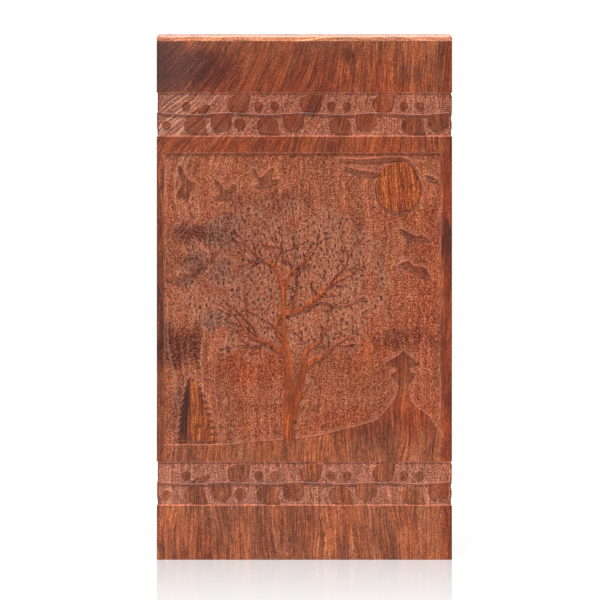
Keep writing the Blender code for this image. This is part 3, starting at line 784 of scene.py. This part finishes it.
def lobe(centre, width, height, tips, steps=9):
    """A fat carved leaf: an oval drawn out to a point at one or two of its four corners."""
    outline = []
    shift = 0.12 if len(tips) == 1 else 0.0
    for i in range(4 * steps):
        turn = math.pi / 2 * i / steps
        u = math.cos(turn) * (1 - shift)
        v = math.sin(turn)
        for tip in tips:
            u_oval = math.cos(math.pi / 4) * tip[0]
            towards = math.atan2(tip[1], 0.8 * tip[0])
            away = abs((turn - towards + math.pi) % (2 * math.pi) - math.pi)
            pull = max(0.0, 1 - away / 0.8) ** 1.4
            u += pull * (tip[0] * (1.0 + shift) - u_oval * (1 - shift))
            v += pull * (tip[1] - math.sin(math.pi / 4) * tip[1])
        u, v = max(-1.0, min(1.0 + shift, u)), max(-1.0, min(1.0, v))
        u = u if not shift else (u - math.copysign(shift, tips[0][0]))
        outline.append((centre[0] + u * width / 2, centre[1] + v * height / 2))
    return outline


print("points of a leaf:", len(lobe((0, 0), 13.2, 9.7, [(1, 1)])))


# %% [markdown]
# ## Limbs and twigs
#
# A limb isn't flat like a leaf: its top is gently rounded and the thinner it gets, the lower it stands. So it
# gets a function of its own, which sweeps a low hump along the line. Its rings run along the limb instead of
# upwards, and each ring is a closed slice through the hump. At a corner of the box the hump falls back with
# the rounded edge, so that a stem can run on round it.

# %% Sweep a limb
def sweep_limb(shape, side, points, widths, carved, steps=5, finish=FIGURE, full=2.0, spread=0.3, low=0.55):
    """A hump along a smooth line. A limb as wide as full reaches the face of the board."""
    line = smooth_line(points, steps)
    rings = []
    for number, middle in enumerate(line):
        half = width_at(widths, number / (len(line) - 1)) / 2
        thin = max(0.0, 1.0 - 2 * half / full)
        top = 0.03 + low * carved * thin + corner_drop(side, middle.x)
        out = across(line, number)
        drop = min(0.16, 0.6 * half)
        flank = ((half + spread, carved + UNDER), (half, top + drop), (0.6 * half, top + 0.25 * drop))
        slice_points = (*((-out_by, depth) for out_by, depth in flank), (0.0, top), *flank[::-1])
        rings.append([on_face(side, *(middle + out * offset), depth) for offset, depth in slice_points])
    note_cut(shape, side, line, carved)

    paints = (FRESH, finish, finish, finish, finish, FRESH, ROUTED)
    loft(shape, rings, lambda level, place: paints[place], (finish, finish))


print("the rounded edge falls back by", round(corner_drop("front", 0.4), 2), "mm at 0.4 mm from the side")


# %% [markdown]
# ## The vine bands
#
# A band repeats a short run of leafy vine: a stem along the middle, a fat leaf and berries above it, a leaf
# that hangs below, and a shield-shaped leaf. The same run goes round all four faces. A leaf that would
# be cut by a corner is left out, as the real carver's program did. The upper band's leaves are dark with a
# darker rim, and the lower band's have nearly the tone of their ground.

# %% Carve the vine
VINE_PITCH = 40.0
BERRY = 2.2
CLEAR_OF_CORNER = 1.5


def vine_run(start, middle, first):
    """The figures of one repeat, as outlines on the face."""
    def at(share):
        return start + share * VINE_PITCH

    shapes = [
        lobe((at(0.105), middle + 5.9), 13.2, 9.7, [(1, 1)]),
        lobe((at(0.51), middle - 5.9), 13.2, 9.7, [(1, -1)]),
        lobe((at(0.85), middle - 4.4), 11.2, 8.8, [(1, 1), (-1, 1)]),
        disc((at(0.37), middle + 4.8), BERRY),
    ]
    if first:
        foot = Vector((at(0.59) - 1.8, middle + 1.2))
        ahead = Vector((math.cos(math.radians(34)), math.sin(math.radians(34))))
        side = Vector((-ahead.y, ahead.x))
        bud = [foot, foot + 3.2 * ahead + 1.7 * side, foot + 7.0 * ahead, foot + 3.6 * ahead - 1.6 * side]
        shapes.append(closed_curve(bud, 4))
        shapes.append(disc((at(0.1), middle - 5.9), BERRY))
        shapes.append(disc((at(1.114), middle - 5.2), 2.9))
    else:
        shapes.append(disc((at(0.59), middle + 4.8), BERRY))
    return shapes


def carve_bands(shape, side):
    length = FACES[side][2]
    repeats = max(1, round(length / VINE_PITCH))
    margin = (length - repeats * VINE_PITCH) / 2
    count = 0
    for bottom in BAND_BOTTOMS:
        middle = bottom + BAND_HEIGHT / 2
        upper = bottom > HEIGHT / 2
        look = {"finish": LEAF, "rim": 0.3} if upper else {"finish": WAXED, "dark": 0.3}
        waves = 2 * repeats
        stem = [(length * i / waves, middle + 0.5 * (-1) ** i) for i in range(waves + 1)]
        tip = CORNER * (1 - math.sqrt(0.5))
        stem[0] = (tip, stem[0][1])
        stem[-1] = (length - tip, stem[-1][1])
        sweep_limb(shape, side, stem, (0.9, 0.9), BAND_DEPTH, 12, LEAF, 0.9)
        for repeat in range(repeats):
            for outline in vine_run(margin + repeat * VINE_PITCH, middle, repeat == 0):
                reach = [point[0] for point in outline]
                if min(reach) > CLEAR_OF_CORNER and max(reach) < length - CLEAR_OF_CORNER:
                    raise_figure(shape, side, outline, BAND_DEPTH, **look)
                    count += 1
        foot = margin + 0.42 * VINE_PITCH
        stalk = [(foot, middle + 0.2), (foot + 2.4, middle + 1.6), (foot + 4.6, middle + 3.6)]
        sweep_limb(shape, side, stalk, (0.8, 0.5), BAND_DEPTH, 3, LEAF, 0.9)
    print(side, "face has", count, "leaves, buds and berries")


# %% [markdown]
# ## What the picture shows
#
# The picture's points are in millimetres from its lower left corner. A limb is a line from foot to tip, its
# widths along the way, and how many twigs grow from it. The hill, the sun's cap and the birds are outlines,
# the tower is half an outline, and a streak of cloud is a line and its widths.

# %% Draw the limbs of the tree
LIMBS = (
    (((69.8, -2), (69.4, 3), (68.9, 9)), (15, 8, 6), 0),
    (((69.0, 0), (68.7, 18), (68.8, 36), (68.2, 50), (66.6, 61), (66, 74)), (6.6, 2.2), 0),
    (((67.6, 56), (63.6, 61), (62.4, 67), (65.6, 74)), (1.7, 1.6), 0),
    (((70.6, 14), (74, 30), (77, 41), (81, 46), (88, 49.7), (94, 55), (101, 60)), (5.4, 2.8, 0.9), 4),
    (((76, 36), (77, 47), (79, 52.4), (86.3, 57.9), (90.2, 66)), (3, 2, 0.8), 3),
    (((73, 23), (77.6, 29.4), (81.3, 35)), (2, 0.6), 1),
    (((68, 49), (62.6, 53.5), (57.6, 56.8), (50.6, 59.3), (46, 62.6), (41, 70)), (2.6, 1.8, 0.6), 4),
    (((51, 59), (49.9, 64.5), (46, 68.8), (38.8, 76)), (1.5, 0.6), 3),
    (((55.8, 58), (52, 54.9), (42, 55.7)), (1.3, 0.5), 2),
    (((65.4, 60.6), (59.8, 66.8), (53.6, 70.6)), (1.4, 0.5), 2),
    (((66, 72), (66.2, 80), (66.4, 86)), (3.2, 2.4), 0),
    (((66.4, 84), (64.4, 91), (61.5, 98.2), (57, 101.7), (50.6, 105.6), (43.6, 114)), (2.3, 1.4, 0.6), 5),
    (((58, 101.2), (52.1, 102.2), (46.4, 101)), (1.2, 0.5), 2),
    (((61.6, 97.4), (62.6, 103.2), (64.8, 107.4), (65.4, 113)), (1.3, 0.6), 3),
    (((66.4, 84), (68.2, 91), (71, 96.8), (76.4, 100.4), (81, 105)), (2, 0.6), 3),
    (((71, 96), (70.3, 99.9), (66.9, 103)), (1.1, 0.5), 1),
    (((70.2, 74.4), (72.8, 82), (73.4, 90), (71.4, 97.6)), (1.7, 0.9), 2),
    (
        ((65.9, 73), (73, 74.4), (78.4, 77.2), (84.4, 81.8), (90, 87), (96, 91.2), (104, 94.8)),
        (3, 2, 0.7), 5,
    ),
    (((92, 88.4), (95.1, 93.8), (99.6, 98), (103.6, 107)), (1.5, 0.6), 3),
    (((74.6, 74.6), (80, 75.4), (85.4, 79), (90, 78.8), (95, 76.6), (103, 78)), (1.5, 0.6), 3),
)  # fmt: skip
print(len(LIMBS), "limbs")

# %% Draw the land, the sky and the birds
HILL = (
    (0.2, 0.2), (22, 0.2), (38, 0.6), (49, 2.2), (62, 3.0), (75, 4.1), (88, 6.3), (100, 9.1),
    (110, 11.8), (117, 14), (121, 17.5), (125, 22.4), (129, 28), (130.4, 33), (134.2, 33),
    (135.6, 27), (138, 22.6), (142, 19.6), (146, 16.6), (148.6, 12.4), (151.4, 8.4), (153.1, 7.6),
)  # fmt: skip
TOWER_MIDDLE = 132.3
TOWER = (
    (2.2, 31), (2.8, 36), (6.6, 40.0), (3.7, 41), (3.7, 44.8), (8.7, 46.4), (2.6, 50),
    (1.1, 51.4), (0.3, 53),
)  # fmt: skip
CONIFER_APEX, CONIFER_FOOT, CONIFER_TIERS = (14.8, 38.2), 2.9, 10
CONIFER_REACH = (15.4, -7.6)
SUN_MIDDLE, SUN_RADIUS = (129.6, 141.6), 12.8
SUN_CAP = ((118.6, 150), (123, 154.6), (128.6, 156.3), (134, 156.4), (137.2, 153), (139, 146))
CLOUDS = (
    (
        ((97.3, 158.4), (108.4, 157.6), (119.4, 158.2), (128, 158.4), (134.6, 157), (137.6, 151)),
        (0.5, 1.2, 1.6, 2.2, 3.2),
    ),
    (((100, 154.4), (105, 152), (112, 150.6), (121, 150.2), (132, 151.8)), (0.5, 1.7, 2.1, 1.4, 0.3)),
    (((144.6, 149.4), (147.6, 147.8), (151.4, 146.6)), (0.4, 2.2, 0.3)),
)
BIRDS = (
    (
        (9, 154.8), (13, 148.6), (14, 146.4), (17.2, 145.2), (14.6, 141), (14, 137.2), (11.6, 135.8),
        (10.2, 138.6), (7, 138.2), (10.4, 145), (8.2, 152),
    ),
    (
        (28, 146.6), (30, 146.4), (34.6, 141.4), (38.4, 144.6), (40, 142.4), (35, 139.4),
        (37.8, 138.4), (35.4, 136.8), (27.6, 137.8), (31, 138.8), (30.6, 142),
    ),
    (
        (50.4, 153), (53.4, 148), (57.6, 152), (60.6, 153.4), (59.4, 147.4), (64.4, 147),
        (59, 144.4), (50.6, 143.8), (53, 145.4), (51.6, 148.6), (49, 152),
    ),
    (
        (130, 120), (137, 117), (140.6, 115.6), (142.4, 116.6), (146.2, 113.6), (140, 114.4),
        (134.4, 113.4), (134, 116),
    ),
    (
        (129.6, 100), (135, 102.2), (138, 99.4), (143.8, 98.4), (146.8, 94.2), (146, 93.2),
        (138, 96), (136, 98.4),
    ),
)  # fmt: skip
print(len(BIRDS), "birds and", len(CLOUDS), "streaks of cloud")


# %% [markdown]
# ## Twigs and leaves
#
# The tree has far too many twigs and leaves to place by hand. A twig is grown from its foot: it wanders a
# little as it goes, and splits into shorter ones. Leaves sit along the twigs and loose in the crown. The
# random numbers start from a fixed seed, so that every run gives the same tree.

# %% Grow the crown
def sheet(point):
    """A place in the picture as a place on the front face."""
    return Vector((PICTURE_LEFT + point[0], PICTURE_BOTTOM + point[1]))


CROWN_MIDDLE, CROWN_HALF = Vector((66, 93)), (57, 41)
chance = random.Random(19)
twig_lines = []


def in_crown(point):
    u, v = (point.x - CROWN_MIDDLE.x) / CROWN_HALF[0], (point.y - CROWN_MIDDLE.y) / CROWN_HALF[1]
    return math.hypot(u, v) < 1.0


def grow_twig(foot, heading, length, width, order):
    """A wandering line of four pieces, and smaller ones from its sides. Order counts down to 0."""
    points = [Vector(foot)]
    for _ in range(4):
        heading += chance.uniform(-0.32, 0.32)
        step = Vector((math.cos(heading), math.sin(heading))) * length / 4
        points.append(points[-1] + step)
    twig_lines.append((points, width))
    if order > 0:
        for number in (2, 3, 4):
            side = chance.choice((-1, 1))
            lean = side * chance.uniform(0.45, 0.95) if number < 4 else chance.uniform(-0.3, 0.3)
            shorter = length * chance.uniform(0.45, 0.75)
            grow_twig(points[number], heading + lean, shorter, 0.75 * width, order - 1)


for points, widths, count in LIMBS:
    if count:
        line = smooth_line(points, 4)
        for number in range(count + 1):
            place = round((0.42 + 0.58 * number / count) * (len(line) - 1))
            out = across(line, place)
            heading = math.atan2(-out.x, out.y)
            lean = 0.0 if number == count else chance.uniform(0.5, 0.95) * (-1) ** number
            grow_twig(line[place], heading + lean, chance.uniform(5, 10), 0.4, 1)
twig_lines = [twig for twig in twig_lines if in_crown(twig[0][0]) or twig[0][0].y > 50]
print(len(twig_lines), "twigs")

# %% Scatter the leaves
leaf_places = []
LEAF_TRIES = 2600
GAP_ON_TWIG, GAP_LOOSE = 1.9, 2.4


def free_spot(point, gap):
    return all((point - other).length > gap for other, _ in leaf_places)


for points, width in twig_lines:
    for number, point in enumerate(points[1:], 1):
        if chance.random() < 0.35:
            ahead = points[number] - points[number - 1]
            spot = point + Vector((chance.uniform(-1, 1), chance.uniform(-1, 1)))
            if free_spot(spot, GAP_ON_TWIG):
                leaf_places.append((spot, math.atan2(ahead.y, ahead.x) + chance.uniform(-0.8, 0.8)))
for _ in range(LEAF_TRIES):
    share = math.sqrt(chance.random())
    turn = chance.uniform(0, 2 * math.pi)
    off_x, off_y = share * CROWN_HALF[0] * math.cos(turn), share * CROWN_HALF[1] * math.sin(turn)
    spot = CROWN_MIDDLE + Vector((off_x, off_y))
    clump = noise.noise(Vector((spot.x / 9, spot.y / 9, 4)))
    if clump > -0.3 + 0.3 * share and free_spot(spot, GAP_LOOSE):
        leaf_places.append((spot, chance.uniform(0, 2 * math.pi)))
print(len(leaf_places), "leaves")


# %% [markdown]
# ## Carve the picture
#
# The figures go onto the front face one after another. Small leaves stand lower than the face, as the round
# tip of the router leaves them. The fir has stepped tiers, whose tips lie on a curve, so each side's outline
# is worked out from its height and the number of tiers. Its left half is in the shade, and darker.

# %% Put every figure on the front
def fir_edge(reach):
    """One side of the fir. Each tier sweeps out to a tip, and the next starts nearer the stem."""
    drop = (CONIFER_APEX[1] - CONIFER_FOOT) / CONIFER_TIERS
    edge = []
    for tier in range(1, CONIFER_TIERS + 1):
        spread = reach * (tier / CONIFER_TIERS) ** 0.6
        level = CONIFER_APEX[1] - tier * drop
        edge.append((CONIFER_APEX[0] + spread, level + 0.25 * drop))
        edge.append((CONIFER_APEX[0] + 0.72 * spread, level))
    return edge


def strip(points, widths, steps=5):
    line = smooth_line(points, steps)
    halves = [width_at(widths, i / (len(line) - 1)) / 2 for i in range(len(line))]
    left = [p + across(line, i) * halves[i] for i, p in enumerate(line)]
    right = [p - across(line, i) * halves[i] for i, p in enumerate(line)]
    return left + right[::-1]


def small_leaf(place, heading, length, width):
    ahead = Vector((math.cos(heading), math.sin(heading)))
    side = Vector((-ahead.y, ahead.x))
    return [
        place + ahead * (u * length / 2) + side * (v * width / 2)
        for u, v in ((-1, 0), (-0.35, -0.85), (0.35, -0.8), (1, 0), (0.3, 0.85), (-0.4, 0.8))
    ]


def carve_picture(shape):
    hill = [*smooth_line(HILL, 3), (154.4, 7.2), (154.4, -1.5), (-1.0, -1.5), (-1.0, 0.2)]
    tower = [(TOWER_MIDDLE + w, h) for w, h in TOWER] + [(TOWER_MIDDLE - w, h) for w, h in TOWER[::-1]]
    right, left = (fir_edge(reach) for reach in CONIFER_REACH)
    fir = [CONIFER_APEX, *right, *reversed(left)]
    fir_shade = [CONIFER_APEX, *left, (CONIFER_APEX[0] + 0.3 * CONIFER_REACH[1], CONIFER_FOOT)]
    flats = [
        (hill, 0.0, WAXED, 0.5, 0.0),
        (tower, 0.0, WAXED, 0.0, 0.5),
        (fir, 0.05, GOLDEN, 0.0, 0.1),
        (fir_shade, 0.0, WAXED, 0.0, 1.0),
        (disc(SUN_MIDDLE, SUN_RADIUS, 48), 0.03, GOLDEN, 0.5, 0.0),
        (SUN_CAP, 0.0, GOLDEN, 0.0, 0.1),
    ]
    flats += [(strip(points, widths), 0.0, WAXED, 0.0, 0.6) for points, widths in CLOUDS]
    flats += [(closed_curve(bird, 3), 0.0, WAXED, 0.0, 0.7) for bird in BIRDS]
    for outline, top, finish, rim, dark in flats:
        place = [sheet(p) for p in outline]
        raise_figure(shape, "front", place, PICTURE_DEPTH, top, 0.5, finish, rim=rim, dark=dark)
    for points, widths, _ in LIMBS:
        slimmer = [0.85 * width for width in widths]
        finish = FIGURE if max(widths) > 1.6 else RIDGE
        sweep_limb(shape, "front", [sheet(p) for p in points], slimmer, PICTURE_DEPTH, finish=finish)
    for points, width in twig_lines:
        line = [sheet(p) for p in points]
        sweep_limb(shape, "front", line, (width, 0.4 * width), PICTURE_DEPTH, 2, ROUTED, 2.0, 0.2, 0.6)
    for spot, heading in leaf_places:
        size = 0.85 + 1.3 * chance.random() ** 2
        outline = small_leaf(sheet(spot), heading, size, chance.uniform(0.45, 0.7) * size)
        top = chance.uniform(0.3, 0.9)
        raise_figure(shape, "front", outline, PICTURE_DEPTH, top, 0.12, RIDGE, 0.05, wall=RIDGE)


print("a side of the fir has", len(fir_edge(1.0)), "points")


# %% [markdown]
# ## Paler ground beside each cut
#
# The last pass of the router runs along every outline, and it leaves a paler, cleaner line of ground there.
# So each point of the ground gets a number that is 1 at a cut and falls to 0 about 3 mm away. It is stored on
# the mesh, and the materials read it. A tree of the cuts' points makes the search fast.

# %% Mark the ground near the cuts
HALO, CUT_WIDTH = 3.0, 0.3
SURELY_GROUND = 0.5


def mark_ground(shape, side, count):
    search = kdtree.KDTree(len(shape["cuts"]))
    for number, spot in enumerate(shape["cuts"]):
        search.insert(spot, number)
    search.balance()
    origin, direction, _ = FACES[side]
    marked = 0
    for number, point in enumerate(shape["points"][:count]):
        along = (point - origin).dot(direction)
        if ground_depth(side, along, point.z) < SURELY_GROUND:
            continue
        distance = search.find(point)[2]
        for edge in edge_distances(side, along, point.z):
            distance = min(distance, edge + EDGE_RUN)
        mark = max(0.0, 1.0 - max(0.0, distance - CUT_WIDTH) / HALO)
        shape["near_cut"][number] = mark**1.5
        marked += 1
    print(side, "board:", marked, "points of ground,", len(shape["cuts"]), "points of cuts")


def edge_distances(side, along, up):
    """How far a place lies from the straight edges of the carving that it is in."""
    if in_a_band(up):
        return [min(abs(up - bottom), abs(bottom + BAND_HEIGHT - up)) for bottom in BAND_BOTTOMS]
    return [abs(edge - along) for edge in (PICTURE_LEFT, PICTURE_RIGHT)] + [abs(PICTURE_TOP - up)]


# %% [markdown]
# ## Put the boards together
#
# The front and back boards run the full width and the side boards stand between them, so the joints show as
# fine lines on the sides. Each board is one piece with its own carving, and takes the place of its solid.

# %% Make the four boards
boards = {}
for side, low, high, corner in (
    ("front", 0.0, WIDTH, CORNER),
    ("back", 0.0, WIDTH, CORNER),
    ("left", WALL + GAP, DEPTH - WALL - GAP, 0.25),
    ("right", WALL + GAP, DEPTH - WALL - GAP, 0.25),
):
    shape = new_shape()
    add_board(shape, side, low, high, corner)
    board_points = len(shape["points"])
    carve_bands(shape, side)
    if side == "front":
        carve_picture(shape)
    mark_ground(shape, side, board_points)
    boards[side] = finished(shape, f"carved_{side}_board", FINISHES)
    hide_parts(f"{side}_board")
    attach(boards[side], "root")


# %% [markdown]
# ## The top board
#
# The top is cut nearer the bark, with its grain running from left to right: red-brown heartwood in the
# middle, and pale sapwood at both long edges. Its lip laps over the walls and is rounded above, and a thicker
# part drops down between them. Both are one stack of rounded rectangles.

# %% Make the top
def rounded_rectangle(half_width, half_depth, radius, up, steps=6):
    ring = []
    for number, (x, y) in enumerate(((1, 1), (-1, 1), (-1, -1), (1, -1))):
        centre = Vector((x * (half_width - radius), y * (half_depth - radius), up))
        for i in range(steps + 1):
            turn = math.pi / 2 * (number + i / steps)
            ring.append(centre + radius * Vector((math.cos(turn), math.sin(turn), 0)))
    return ring


plug_width, plug_depth = WIDTH / 2 - WALL - GAP, DEPTH / 2 - WALL - GAP
under = HEIGHT - LIP
rings = [
    rounded_rectangle(plug_width - 0.5, plug_depth - 0.5, 0.5, under - PLUG),
    rounded_rectangle(plug_width, plug_depth, 0.5, under - PLUG + 0.5),
    rounded_rectangle(plug_width, plug_depth, 0.5, under),
    rounded_rectangle(WIDTH / 2 - 0.25, DEPTH / 2 - 0.25, LIP_ROUND, under),
    rounded_rectangle(WIDTH / 2, DEPTH / 2, LIP_ROUND, under + 0.25),
]
for number in range(9):
    turn = math.pi / 2 * number / 8
    inset = LIP_ROUND * (1 - math.cos(turn))
    up = HEIGHT - LIP_ROUND + LIP_ROUND * math.sin(turn)
    rings.append(rounded_rectangle(WIDTH / 2 - inset, DEPTH / 2 - inset, LIP_ROUND + 0.01 - inset, up))
shape = new_shape()
loft(shape, rings, lambda level, place: 0)
top = finished(shape, "rounded_top_board", [pale_top])
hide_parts("top_board")
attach(top, "root")


# %% [markdown]
# ## The base and its screws
#
# The base panel is a plain board of paler sapwood, sanded and thinly oiled. It can stay as the solid made
# it. The four screws are brassed steel that has gone dull, with eased heads, a thread and a cross slot.

# %% Finish the base and make the screws
nodes["base_panel"].data.materials.clear()
nodes["base_panel"].data.materials.append(base_wood)

brass, tree, shader = new_material("brassed steel, dulled", {"Metallic": 1.0})
place = add(tree, "ShaderNodeTexCoord").outputs["Object"]
tarnish = add(tree, "ShaderNodeTexNoise", {"Vector": place, "Scale": 900.0, "Detail": 3.0}).outputs["Fac"]
ramp = add(tree, "ShaderNodeValToRGB", {"Fac": tarnish})
for element, paint, position in zip(ramp.color_ramp.elements, ("#8a6a34", "#c9a45e"), (0.35, 0.65)):
    element.color = srgb(paint)
    element.position = position
tree.links.new(ramp.outputs["Color"], shader.inputs["Base Color"])
tree.links.new(add(tree, "even range", tarnish, 0.3, 0.7, 0.28, 0.5), shader.inputs["Roughness"])


def screw_shape(x, y):
    """A countersunk wood screw, head down, whose thread is a row of sharp rings."""
    crest, root, pitch, up = 1.5, 1.1, 1.1, 6.6
    profile = [(0.3, 0.45), (2.2, 0.42), (2.65, 0.46), (2.8, 0.55), (crest, 1.85), (crest, up)]
    while up < 15.0:
        profile.extend(((crest, up + 0.3), (root, up + 0.7)))
        up += pitch
    profile.append((0.15, 16.4))
    turns = [2 * math.pi * i / 32 for i in range(32)]
    shape = new_shape()
    rings = [[Vector((x + r * math.cos(a), y + r * math.sin(a), h)) for a in turns] for r, h in profile]
    loft(shape, rings, lambda level, place: 0)
    return shape


def slot_shape(x, y, half_x, half_y):
    shape = new_shape()
    rings = []
    for share, up in ((1.0, -1.0), (1.0, 0.45), (0.6, 1.3)):
        corners = ((1, 1), (-1, 1), (-1, -1), (1, -1))
        rings.append([Vector((x + u * half_x * share, y + v * half_y * share, up)) for u, v in corners])
    loft(shape, rings, lambda level, place: 0)
    return shape


for number in range(1, 5):
    low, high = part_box(f"base_screw_{number}")
    x, y = (low.x + high.x) / 2 / MM, (low.y + high.y) / 2 / MM
    made = finished(screw_shape(x, y), f"brassed_screw_{number}", [brass])
    tools = []
    for half_x, half_y in ((1.7, 0.4), (0.4, 1.7)):
        tools.append(finished(slot_shape(x, y, half_x, half_y), "cross_slot", [brass]))
        slot = made.modifiers.new("slot", "BOOLEAN")
        slot.operation = "DIFFERENCE"
        slot.solver = "EXACT"
        slot.object = tools[-1]
    graph = bpy.context.evaluated_depsgraph_get()
    made.data = bpy.data.meshes.new_from_object(made.evaluated_get(graph))
    made.modifiers.clear()
    for tool in tools:
        bpy.data.objects.remove(tool)
    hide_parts(f"base_screw_{number}")
    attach(made, "root")


# %% [markdown]
# ## Floor, light and camera
#
# The box stands on a glossy white table, lit from below, in front of a bright white wall. Its gloss is strong
# near the box and fades towards the camera and behind the box. Two soft suns stand high in front, so the
# carving throws small shadows downwards. The room behind the camera is dim, which keeps the waxed wood deep
# in colour instead of milky. The camera stands 3 m away, almost level with the middle of the box.

# %% Lay the floor
floor_mesh = bpy.data.meshes.new("floor")
floor_mesh.from_pydata([(-6, -4, 0), (6, -4, 0), (6, 8, 0), (-6, 8, 0)], [], [(0, 1, 2, 3)])
floor = new_object("floor", floor_mesh)
constants = {
    "Base Color": (0.15, 0.15, 0.15, 1.0),
    "Roughness": 0.9,
    "Specular IOR Level": 0.0,
    "Emission Color": (1.0, 1.0, 1.0, 1.0),
    "Emission Strength": 0.85,
}
white_table, tree, shader = new_material("white acrylic sheet, lit from below", constants)
gloss = add(tree, "ShaderNodeBsdfGlossy", {"Color": (1, 1, 1, 1), "Roughness": 0.06})
place = add(tree, "ShaderNodeTexCoord").outputs["Object"]
parts = add(tree, "ShaderNodeSeparateXYZ", {0: place}).outputs
near = add(tree, "even range", parts["Y"], -0.42, -0.065, 0.17, 0.42)
far = add(tree, "even range", parts["Y"], -1.2, -0.42, 0.25, 1.0)
back = add(tree, "even range", parts["Y"], -0.06, 0.02, 1.0, 0.2)
fade = add(tree, "MULTIPLY", add(tree, "MULTIPLY", near, far), back)
both = add(tree, "ShaderNodeMixShader", {"Fac": fade, 1: shader.outputs[0], 2: gloss.outputs[0]})
tree.links.new(both.outputs[0], tree.nodes["Material Output"].inputs["Surface"])
floor_mesh.materials.append(white_table)
floor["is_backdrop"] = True
print("floor laid")

# %% Light the room
world = bpy.data.worlds.new("studio")
bpy.context.scene.world = world
world.use_nodes = True
tree = world.node_tree
background = tree.nodes["Background"]
place = add(tree, "ShaderNodeTexCoord").outputs["Generated"]
parts = add(tree, "ShaderNodeSeparateXYZ", {0: place}).outputs
behind = add(tree, "even range", parts["Y"], 0.3, 0.6, 0.0, 0.8)
low_down = add(tree, "even range", add(tree, "ABSOLUTE", parts["Z"]), 0.35, 0.25, 0.0, 1.0)
wall = add(tree, "MULTIPLY_ADD", behind, low_down, 0.2)
seen = add(tree, "ShaderNodeLightPath").outputs["Is Camera Ray"]
level = add(tree, "ShaderNodeMix", {0: seen, 2: wall, 3: 1.0}).outputs[0]
tree.links.new(level, background.inputs["Strength"])
background.inputs["Color"].default_value = (1, 1, 1, 1)


def sun(name, towards, strength, softness):
    """A lamp so far off that it lights the whole floor alike. Softness is its width in degrees."""
    data = bpy.data.lights.new(name, "SUN")
    data.energy = strength
    data.angle = math.radians(softness)
    new_object(name, data).rotation_euler = Vector(towards).to_track_quat("-Z", "Y").to_euler()


sun("key", (0.02, 0.62, -1.0), 4.0, 18)
sun("fill", (0.0, 0.9, -0.35), 0.3, 40)
print("two soft suns")

# %% Stand the camera
camera_data = bpy.data.cameras.new("camera")
camera = new_object("camera", camera_data)
bpy.context.scene.camera = camera
DISTANCE = 3.0
VIEW_WIDTH = 0.331
SENSOR = 36
target = Vector((-0.00243, -0.065, 0.1434))
camera.location = (target.x, target.y - DISTANCE, target.z + 0.0236)
camera.rotation_euler = (target - camera.location).to_track_quat("-Z", "Y").to_euler()
camera_data.sensor_width = SENSOR
camera_data.lens = SENSOR * DISTANCE / VIEW_WIDTH
camera_data.clip_end = 50
bpy.context.scene.view_settings.view_transform = "Standard"
print("lens", round(camera_data.lens), "mm")

# %% Print the sizes and finish
low, high = (list(corner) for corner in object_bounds())
print("cad   ", [[round(v, 5) for v in corner] for corner in (cad_low, cad_high)])
print("visual", [[round(v, 5) for v in corner] for corner in (low, high)])
